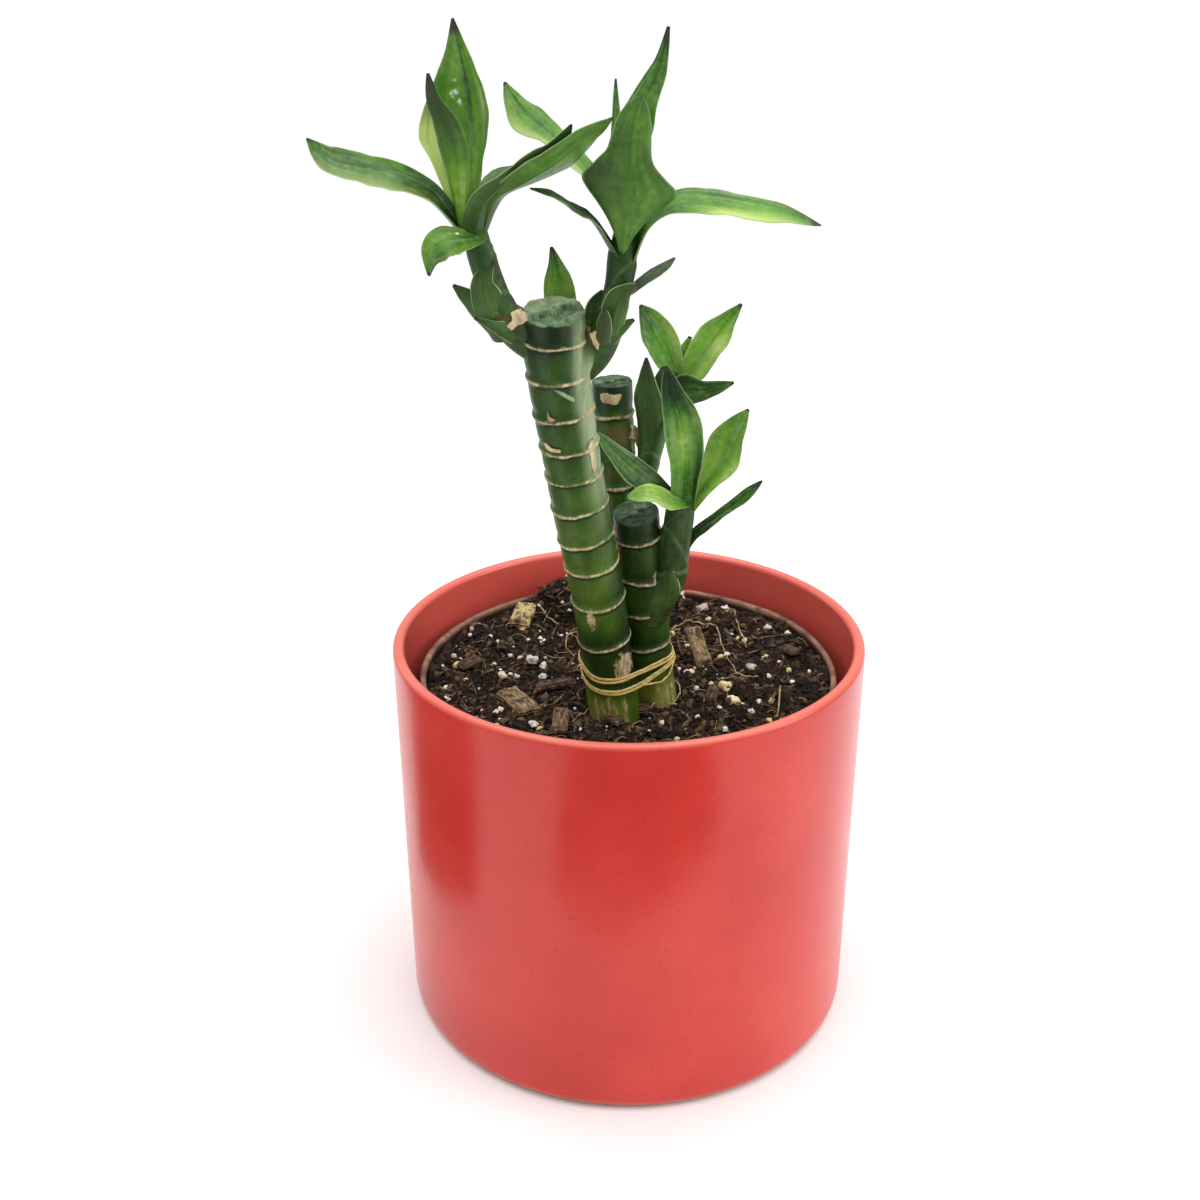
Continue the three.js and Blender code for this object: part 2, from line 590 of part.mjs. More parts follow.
function potShape() {
  const base = POT_RADIUS - POT_TAPER;
  const inner = POT_RADIUS - POT_WALL;
  const innerBase = base - POT_WALL;
  const foot = POT_FOOT_ROUND;
  const lip = POT_WALL / 2;
  return turned([
    [0, 0],
    [base - foot, 0],
    [base - foot * 0.38, foot * 0.22],
    [base - foot * 0.06, foot * 0.62],
    [base, foot],
    [lerp(base, POT_RADIUS, 0.5), POT_HEIGHT * 0.5],
    [POT_RADIUS, POT_HEIGHT - lip],
    [POT_RADIUS - lip * 0.3, POT_HEIGHT - lip * 0.3],
    [POT_RADIUS - lip, POT_HEIGHT],
    [inner + lip * 0.3, POT_HEIGHT - lip * 0.3],
    [inner, POT_HEIGHT - lip],
    [innerBase, POT_FLOOR + 6],
    [innerBase - 6, POT_FLOOR],
    [0, POT_FLOOR],
  ], POT_SIDES);
}

function linerShape() {
  const low = POT_FLOOR + GAP;
  const r = LINER_RADIUS;
  const w = LINER_WALL;
  return turned([
    [0, low],
    [LINER_BASE_RADIUS, low],
    [r - 0.8, LINER_TOP - 4],
    [r - 0.8, LINER_TOP - 2],
    [r - 0.8 + LINER_RIM * 0.4, LINER_TOP - 1.8],
    [r, LINER_TOP - 0.6],
    [r - 0.5, LINER_TOP],
    [r - w - 0.6, LINER_TOP - 0.3],
    [r - w - 0.8, LINER_TOP - 2],
    [r - w - 0.8, LINER_TOP - 4],
    [LINER_BASE_RADIUS - w, low + w],
    [0, low + w],
  ], LINER_SIDES);
}

function soilHeight(x, y) {
  // Clods in staggered rows that wander a little, on a bed that rises towards the wall
  const turn = (2 * Math.PI) / (SOIL_CLOD_SPACING * Math.SQRT2);
  const along = Math.sin(x * turn + 1.2 + 0.9 * Math.sin(y * 0.11));
  const across = Math.cos(y * turn - 0.6 + 0.9 * Math.sin(x * 0.13));
  const rise = SOIL_EDGE_RISE * Math.max(0, (Math.hypot(x, y) - 30) / 25);
  const away = Math.hypot((x - MOUND.at[0]) / MOUND.reach[0], (y - MOUND.at[1]) / MOUND.reach[1]);
  const heap = MOUND.height * THREE.MathUtils.smoothstep(1 - away, 0, 0.55);
  return SOIL_TOP + rise + heap + (SOIL_CLOD_HEIGHT / 2) * along * across;
}

function soilShape() {
  const low = POT_FLOOR + GAP + LINER_WALL + GAP;
  const edge = LINER_RADIUS - 0.8 - LINER_WALL - GAP;
  const points = [[0, 0, soilHeight(0, 0)]];
  const triangles = [];
  // Each ring of the bed has a few more points than the one inside it, so that they lie evenly
  let inner = 0;
  for (let ring = 1; ring <= SOIL_RINGS; ring += 1) {
    const count = SOIL_STEPS * ring;
    const before = Math.max(count - SOIL_STEPS, 1);
    const outer = points.length;
    const r = (edge - 0.1) * (ring / SOIL_RINGS);
    for (let k = 0; k < count; k += 1) {
      const angle = (k / count) * 2 * Math.PI;
      const x = r * Math.cos(angle);
      const y = r * Math.sin(angle);
      points.push([x, y, ring === SOIL_RINGS ? soilHeight(x, y) - 0.8 : soilHeight(x, y)]);
    }
    for (let k = 0; k < count; k += 1) {
      const near = Math.floor(k / ring) * (ring - 1) + (k % ring);
      const a = inner + (near % before);
      const b = outer + k;
      const c = outer + ((k + 1) % count);
      triangles.push([a, b, c]);
      if (k % ring < ring - 1) {
        triangles.push([a, c, inner + ((near + 1) % before)]);
      }
    }
    inner = outer;
  }
  const sides = SOIL_STEPS * SOIL_RINGS;
  for (const [r, z] of [[edge, LINER_TOP - 6], [LINER_BASE_RADIUS - LINER_WALL - GAP - 0.4, low]]) {
    const lower = points.length;
    for (let k = 0; k < sides; k += 1) {
      const angle = (k / sides) * 2 * Math.PI;
      const next = (k + 1) % sides;
      points.push([r * Math.cos(angle), r * Math.sin(angle), z]);
      triangles.push([inner + k, lower + k, lower + next], [inner + k, lower + next, inner + next]);
    }
    inner = lower;
  }
  points.push([0, 0, low]);
  for (let k = 0; k < sides; k += 1) {
    triangles.push([points.length - 1, inner + ((k + 1) % sides), inner + k]);
  }
  return geometryFrom(points, triangles);
}

// The tie runs along the hull round the canes at each height
function tiePath() {
  const path = [];
  const canes = [CANE_TALL, CANE_MIDDLE, CANE_SHORT];
  const centre = new THREE.Vector2(-1.5, -16.5);
  for (let i = 0; i <= TIE_STEPS; i += 1) {
    const turn = (i / TIE_STEPS) * TIE_TURNS;
    const angle = turn * 2 * Math.PI - 2.4;
    const rise = TIE_LOW + turn * TIE_PITCH;
    const circles = canes.map((spec) => {
      const t = placeAtHeight(spec.axis, rise);
      const p = pointAt(spec.axis, t);
      return [p.x, p.y, sampleAt(spec.radius, t) + GAP + 0.2 + TIE_RADIUS];
    });
    // Farthest support of the circles seen from the middle of the bundle
    let best = 0;
    const dir = new THREE.Vector2(Math.cos(angle), Math.sin(angle));
    for (let k = -30; k <= 30; k += 1) {
      const probe = angle + (k * Math.PI) / 90;
      const nx = Math.cos(probe);
      const ny = Math.sin(probe);
      const reach = Math.max(...circles.map(([x, y, r]) => (x - centre.x) * nx + (y - centre.y) * ny + r));
      const along = reach / (nx * dir.x + ny * dir.y);
      best = k === -30 ? along : Math.min(best, along);
    }
    const x = centre.x + dir.x * best;
    const y = centre.y + dir.y * best;
    path.push([x, y, rise + (y + 16) * TIE_SLOPE]);
  }
  return path;
}

function tieShape() {
  const path = tiePath();
  const points = [];
  const triangles = [];
  for (let i = 0; i < path.length; i += 1) {
    const before = vec(path[Math.max(i - 1, 0)]);
    const after = vec(path[Math.min(i + 1, path.length - 1)]);
    const along = after.sub(before).normalize();
    const up = new THREE.Vector3(0, 0, 1).addScaledVector(along, -along.z).normalize();
    const side = new THREE.Vector3().crossVectors(along, up);
    for (let k = 0; k < TIE_SIDES; k += 1) {
      const angle = (k / TIE_SIDES) * 2 * Math.PI;
      const p = vec(path[i])
        .addScaledVector(up, TIE_RADIUS * 1.5 * Math.sin(angle))
        .addScaledVector(side, TIE_RADIUS * Math.cos(angle));
      points.push([p.x, p.y, p.z]);
    }
  }
  const rows = path.length;
  for (let i = 0; i < rows - 1; i += 1) {
    for (let k = 0; k < TIE_SIDES; k += 1) {
      const a = i * TIE_SIDES + k;
      const b = i * TIE_SIDES + ((k + 1) % TIE_SIDES);
      triangles.push([a, b + TIE_SIDES, b], [a, a + TIE_SIDES, b + TIE_SIDES]);
    }
  }
  const last = (rows - 1) * TIE_SIDES;
  for (let k = 1; k < TIE_SIDES - 1; k += 1) {
    triangles.push([0, k, k + 1], [last, last + k + 1, last + k]);
  }
  return geometryFrom(points, triangles);
}

function chipShape(spec) {
  // A broken flake of bark with a flat underside, resting on the soil
  const [length, width, height] = spec.size;
  const turn = THREE.MathUtils.degToRad(spec.turn);
  const lean = THREE.MathUtils.degToRad(spec.lean);
  const outline = [[-0.5, -0.2], [-0.3, -0.48], [0.18, -0.5], [0.5, -0.24], [0.44, 0.3], [0.1, 0.5],
    [-0.34, 0.4]];
  const points = [];
  const triangles = [];
  const placed = (x, y, z) => {
    const along = x * Math.cos(lean) - z * Math.sin(lean);
    return [
      spec.at[0] + along * Math.cos(turn) - y * Math.sin(turn),
      spec.at[1] + along * Math.sin(turn) + y * Math.cos(turn),
      x * Math.sin(lean) + z * Math.cos(lean),
    ];
  };
  let floor = 0;
  for (let u = -0.5; u <= 0.5; u += 0.125) {
    for (let v = -0.5; v <= 0.5; v += 0.125) {
      const [x, y, z] = placed(u * length, v * width, 0);
      floor = Math.max(floor, soilHeight(x, y) - z);
    }
  }
  for (const [level, scale] of [[0, 1], [0.6, 0.96], [1, 0.7]]) {
    outline.forEach(([u, v], k) => {
      const p = placed(u * length * scale, v * width * scale, height * level * (1 - 0.12 * (k % 3)));
      points.push([p[0], p[1], p[2] + floor + GAP]);
    });
  }
  const n = outline.length;
  for (let row = 0; row < 2; row += 1) {
    for (let k = 0; k < n; k += 1) {
      const a = row * n + k;
      const b = row * n + ((k + 1) % n);
      triangles.push([a, b, b + n], [a, b + n, a + n]);
    }
  }
  const peak = placed(0, 0, height);
  points.push([peak[0], peak[1], peak[2] + floor + GAP]);
  for (let k = 0; k < n; k += 1) {
    triangles.push([points.length - 1, 2 * n + k, 2 * n + ((k + 1) % n)]);
  }
  for (let k = 1; k < n - 1; k += 1) {
    triangles.push([0, k + 1, k]);
  }
  return geometryFrom(points, triangles);
}

// Assembly
const plant = new THREE.Group();

function place(name, geometry, colour, roughness, metalness = 0) {
  const material = new THREE.MeshStandardMaterial({ color: colour, roughness, metalness });
  geometry.computeVertexNormals();
  const mesh = new THREE.Mesh(geometry, material);
  mesh.name = name;
  plant.add(mesh);
}

place('pot', potShape(), COLOURS.pot, 0.15);
place('liner', linerShape(), COLOURS.liner, 0.6);

const canes = { cane_tall: CANE_TALL, cane_middle: CANE_MIDDLE, cane_short: CANE_SHORT };
const caneSpace = {};
for (const [name, spec] of Object.entries(canes)) {
  caneSpace[name] = toSolid(plainCane(spec, RING_RISE + GAP));
  place(name, cane(spec), COLOURS.cane, 0.5);
}

let soil = toSolid(soilShape());
for (const spec of Object.values(canes)) {
  soil = soil.subtract(toSolid(plainCane(spec, GAP + 0.1)));
}
place('soil', outerShell(soil), COLOURS.soil, 0.95);

// Each piece keeps clear of the ones already in place round it
const taken = Object.values(caneSpace);

function clearOfTaken(solid) {
  let left = solid;
  const box = solid.boundingBox();
  for (const space of taken) {
    const other = space.boundingBox();
    if ([0, 1, 2].every((i) => box.min[i] < other.max[i] && other.min[i] < box.max[i])) {
      left = left.subtract(space);
    }
  }
  return left;
}

for (const [name, spec] of Object.entries(SHOOTS)) {
  let solid = toSolid(shootStem(spec, 0));
  let space = toSolid(shootStem(spec, GAP));
  for (const bract of spec.bracts) {
    const filled = { ...bract, filled: true };
    solid = solid.add(toSolid(blade(filled, LEAF_THICKNESS)));
    space = space.add(toSolid(blade(filled, LEAF_THICKNESS, GAP)));
  }
  place(name, outerShell(clearOfTaken(solid)), COLOURS.shoot, 0.5);
  taken.push(space);
}

for (const [name, spec] of Object.entries(LEAVES)) {
  const solid = toSolid(blade(spec, LEAF_THICKNESS));
  place(name, outerShell(clearOfTaken(solid)), COLOURS.leaf, 0.45);
  taken.push(toSolid(blade(spec, LEAF_THICKNESS, GAP)));
}

place('tie', tieShape(), COLOURS.tie, 0.7);
for (const [name, spec] of Object.entries(CHIPS)) {
  place(name, chipShape(spec), COLOURS.bark, 0.9);
}

export default plant;
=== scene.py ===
import json
import math
import random

import bmesh
import bpy
import numpy as np
from mathutils import Matrix, Vector, noise

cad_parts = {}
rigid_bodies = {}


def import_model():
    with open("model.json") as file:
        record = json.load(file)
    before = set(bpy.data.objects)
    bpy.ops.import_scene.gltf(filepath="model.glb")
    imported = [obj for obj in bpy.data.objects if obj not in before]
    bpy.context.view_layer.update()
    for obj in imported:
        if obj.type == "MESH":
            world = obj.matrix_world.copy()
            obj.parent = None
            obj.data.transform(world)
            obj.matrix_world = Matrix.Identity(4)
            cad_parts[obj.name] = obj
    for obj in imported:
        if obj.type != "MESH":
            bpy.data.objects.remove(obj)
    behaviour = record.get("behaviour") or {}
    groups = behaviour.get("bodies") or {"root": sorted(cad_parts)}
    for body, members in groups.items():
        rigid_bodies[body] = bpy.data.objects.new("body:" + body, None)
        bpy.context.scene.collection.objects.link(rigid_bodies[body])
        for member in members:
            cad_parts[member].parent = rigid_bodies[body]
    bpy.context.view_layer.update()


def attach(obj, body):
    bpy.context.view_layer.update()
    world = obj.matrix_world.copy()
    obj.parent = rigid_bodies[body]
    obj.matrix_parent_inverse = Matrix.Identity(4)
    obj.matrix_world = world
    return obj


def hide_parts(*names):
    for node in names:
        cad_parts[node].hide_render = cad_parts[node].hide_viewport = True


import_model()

MM = 0.001
scene = bpy.context.scene

# Camera at the photo's height and angle; places in the picture are counted on 1200 by 1200 points
CAMERA_AT = (-0.0077, -0.371616, 0.283515)
CAMERA_TILT, CAMERA_ROLL = math.radians(23.75), math.radians(-0.22)
HALF_PICTURE, LENS_IN_POINTS = 600, 1500


def aim_camera():
    right = Vector((1, 0, 0))
    ahead = Vector((0, math.cos(CAMERA_TILT), -math.sin(CAMERA_TILT)))
    up = right.cross(ahead)
    across = right * math.cos(CAMERA_ROLL) + up * math.sin(CAMERA_ROLL)
    over = up * math.cos(CAMERA_ROLL) - right * math.sin(CAMERA_ROLL)
    lens = bpy.data.cameras.new("plant_camera")
    lens.sensor_width, lens.lens, lens.clip_start = 36, 45, 0.01
    holder = bpy.data.objects.new("plant_camera", lens)
    holder.matrix_world = Matrix.Translation(CAMERA_AT) @ Matrix((across, over, -ahead)).transposed().to_4x4()
    scene.collection.objects.link(holder)
    scene.camera = holder


def sight(u, v):
    # The camera's ray through a place in the picture
    ray = Vector(((u - HALF_PICTURE) / LENS_IN_POINTS, (HALF_PICTURE - v) / LENS_IN_POINTS, -1))
    return scene.camera.matrix_world.to_3x3() @ ray


aim_camera()

# Sizes of the pot and what stands in it, in millimetres
POT = dict(radius=64, height=110.5, wall=3.2, floor=5, taper=0.8, foot=4, fillet=6, sides=224)
LINER = dict(radius=57.4, base=50, wall=1, top=100.5, low=5.3, sides=200)
# The liner's rim from outside to inside: how far in from the radius or from the wall, and how far down
RIM_OUTSIDE = [(0.8, 2), (0.3, 1.9), (0.02, 1.4), (0, 0.7), (0.2, 0.2), (0.6, 0)]
RIM_INSIDE = [(0.3, 0.1), (0.7, 0.5), (0.8, 2), (0.8, 4)]
# Its soil is level to some way out, then rises towards the wall, and is crumbled over its edge
SOIL = dict(top=97.2, edge_rise=1.2, level_to=30, rise_over=25, clod_height=1.8, clod_spacing=13, edge=55.2,
            edge_low=94.5, low=6.6, base=48.3)
# Soil heaped up behind the canes
MOUND = dict(at=(-5, 44), reach=(27, 15), height=9)

# Canes: middle line and radius, heights of the rings, scarred and stained patches (height, angle, how
# tall, how wide, strength), dry stripes near the soil (angle, height), and shifts of their tone
CANES = {
    "tall": dict(axis=[(0, -15.5, 62), (-3.9, -21.5, 97.2), (-6.2, -25, 117), (-8.4, -29.5, 135.7),
        (-11.3, -33.5, 153.2), (-13.7, -37, 169.6), (-15.8, -40.5, 185.3), (-17.3, -43.5, 200), (-17.6, -45, 208.5)],
        radius=[6.2, 6.6, 6.6, 6.6, 6.7, 6.8, 6.95, 7.3, 7],
        rings=[121.7, 134.1, 144.4, 152.4, 161.1, 169.3, 177.2, 185.6, 194.9, 203.2],
        patches=[(114.6, -45, 4.2, 27, 0.9), (131.4, -108, 2.6, 9, 0.9), (203.5, 0, 2.2, 30, 0.5)],
        stripes=[(-128, 104.5), (-112, 103.2), (-96, 105.2), (-84, 102.6), (-60, 103.6)], seed=3, cut=1.35, tone=0,
        cap_dark=0.16, top_tone=0.16, low_dark=0.2),
    "middle": dict(axis=[(-3, -2, 66), (-2.3, -4.8, 97), (-1.8, -6, 113.6), (-3, -6.5, 151.8), (-4, -6.5, 170.5),
        (-4.5, -6.5, 182.6)], radius=[4.9, 5.1, 5.1, 5.1, 5.1, 5.1], rings=[120, 138.5, 155.7, 174.6],
        patches=[(167.5, -18, 4.4, 17, 0.9), (169.5, -80, 3.4, 60, 0.45), (160, -120, 3, 30, 0.3)], stripes=[],
        seed=11, cut=0.45, tone=-0.02, cap_dark=0.16, top_tone=-0.1, low_dark=0.15),
    "short": dict(axis=[(11.1, -7.9, 66), (6.7, -12.6, 96), (4.6, -15.6, 113.6), (3.2, -19.8, 132.2),
        (2.2, -22.8, 145), (1.2, -25, 154.5)], radius=[6, 6.2, 6.2, 6.1, 5.8, 5.6], rings=[116.5, 127, 137.1, 148.4],
        patches=[(137.5, -50, 2.6, 11, 0.8), (133.5, -38, 2.4, 7, 0.7)], stripes=[(-70, 103), (-50, 104.5),
        (-30, 102)], seed=23, cut=0.4, tone=-0.16, cap_dark=0.14, top_tone=-0.2, low_dark=0),
}
RING_RISE = 0.4

# Shoots: stem axis and radius, the slanting edges of its sheaths, and the bracts on it
SHOOTS = {
    "left": dict(axis=[(-19.5, -44, 199.8), (-25.3, -44, 203.6), (-28.9, -45, 208.8), (-31.9, -46, 217.2),
        (-33.7, -46.5, 224.8), (-34.8, -46.5, 233)], radius=[3.6, 3.4, 3.3, 3.1, 3, 2], sheaths=[(0.42, -60, 0.1),
        (0.62, 10, 0.14), (0.8, -150, 0.1)], bracts=[
        dict(rib=[(-28.4, -45.6, 202.6), (-31.6, -49.2, 211), (-32.4, -49.6, 216.4), (-30.3, -48.6, 220.7)],
            half=[(3.4, 3.8), (4, 4.2), (3.6, 3.6), (1.8, 2.3), (0.3, 0.3)], cup=[130, 100, 70, 30], face=(0.1, 1, 0),
            tone=[0.36, 0.42, 0.3]),
        dict(rib=[(-27.5, -44.5, 204.5), (-26.9, -44.5, 210.5), (-28.9, -45, 215.2)], half=[1.9, 1.6, 0.4],
            cup=[60, 40, 20], face=(-1, -0.3, 0.2)),
        dict(rib=[(-29.6, -46.4, 206), (-34.8, -47.6, 211.6), (-39.2, -47.5, 215.4)], half=[(3, 3.4), (3.1, 3.1),
            (1.7, 1.9), (0.3, 0.3)], cup=[80, 60, 20], face=(0.2, 1, -0.1), tone=[0.4, 0.36, 0.16]),
        dict(rib=[(-24.4, -46.6, 203.6), (-29.6, -49.8, 206.3), (-34.7, -48.6, 208.4)], half=[(2.6, 2.8), (2.4, 1.9),
            (1.1, 0.8), (0.3, 0.3)], cup=[90, 70, 20], face=(0.1, 1, -0.2), tone=[0.42, 0.36, 0.1]),
        dict(rib=[(-23.2, -42.5, 204), (-25.6, -43, 208.3), (-28.3, -44, 211.3)], half=[1.9, 1.4, 0.4],
            cup=[40, 30, 10], face=(-0.6, -0.3, 0.6)),
    ]),
    "right": dict(axis=[(-15, -43.5, 192.5), (-11, -43.2, 196), (-8.2, -43.6, 200), (-5.7, -45, 206.2),
        (-3.6, -46.5, 214.6), (-2.5, -47.3, 222.3), (-1.7, -47.3, 230.5)], radius=[2.4, 3, 3.5, 3.3, 3, 3.3, 2.2],
        sheaths=[(0.5, -110, 0.1), (0.68, -40, 0.13), (0.86, -80, 0.12)], bracts=[
        dict(rib=[(-5.2, -48.4, 204.5), (-4, -50.2, 211), (-2, -51, 214.4), (1, -50.4, 215.9)], half=[(2.6, 2.8),
            (3.1, 3.5), (2.4, 2.9), (1.2, 1.5), (0.3, 0.3)], cup=[120, 100, 70, 30], face=(0.1, 1, 0),
            tone=[0.42, 0.34, 0.2]),
        dict(rib=[(-8.4, -45, 204), (-8.9, -45.6, 209.4), (-6.9, -46.4, 213.9)], half=[(1.6, 1.8), (2, 1.9),
            (1.6, 1.6), (0.3, 0.3)], cup=[60, 60, 30], face=(-0.2, -1, 0)),
        dict(rib=[(-7, -47.4, 201.5), (-6.6, -50.6, 206.4), (-6.4, -51.6, 211.2)], half=[(1.6, 1.8), (1.8, 1.9),
            (1.6, 1.7), (0.3, 0.3)], cup=[90, 100, 60], face=(0.1, 1, 0.1), tone=[0.16, 0.14, 0.1]),
        dict(rib=[(-6.2, -46, 201.6), (-4.6, -47.9, 204), (-2.4, -48.1, 206.1), (0, -47.5, 207.7)], half=[(1.5, 2.4),
            (1.5, 2.5), (1.1, 1.7), (0.3, 0.3)], cup=[90, 70, 50, 20], face=(0.1, 1, -0.1)),
    ]),
    "middle": dict(axis=[(-1, -6.5, 149), (3, -8, 157.5), (5.6, -9.5, 166), (7.5, -10, 174), (9.3, -10, 181),
        (10.6, -10, 186)], radius=[3.2, 3, 2.7, 2.4, 2.2, 1.5], sheaths=[(0.3, -90, 0.1), (0.55, -20, 0.12),
        (0.78, -130, 0.1)], bracts=[
        dict(rib=[(7, -10.6, 168), (7.3, -12, 178), (7.4, -12.4, 184.2), (8, -12.2, 187.8)], half=[(2.4, 2.4),
            (2.8, 2.8), (2.6, 2.6), (1.4, 1.4), (0.3, 0.3)], cup=[100, 80, 60, 30], face=(0.2, 1, 0),
            tone=[0.3, 0.34, 0.4]),
        dict(rib=[(3.9, -9.8, 161), (4.9, -12.2, 172), (4, -13.6, 182), (3.8, -13.6, 190.4)], half=[(2.6, 2.8),
            (3.6, 3.6), (4, 4.3), (3.6, 4), (1.9, 2), (0.3, 0.3)], cup=[130, 110, 80, 30], face=(0.2, 1, 0),
            tone=[0.3, 0.32, 0.24]),
    ]),
    "short": dict(axis=[(4.6, -19.5, 124.5), (7, -21, 130), (9.8, -23, 137.9), (11.2, -26, 148.9), (12, -27.6, 157.4),
        (12.6, -28, 163)], radius=[4.2, 4.2, 4, 3.7, 3.4, 1.4], sheaths=[(0.38, -70, 0.08), (0.55, -150, 0.12),
        (0.74, -30, 0.12), (0.88, -110, 0.08)], bracts=[
        dict(rib=[(7.6, -23.5, 128.5), (9.4, -27, 134.6), (9.6, -28.4, 141)], half=[3.6, 3.3, 0.6],
            cup=[130, 110, 60], face=(0.1, 1, 0.2)),
    ]),
}

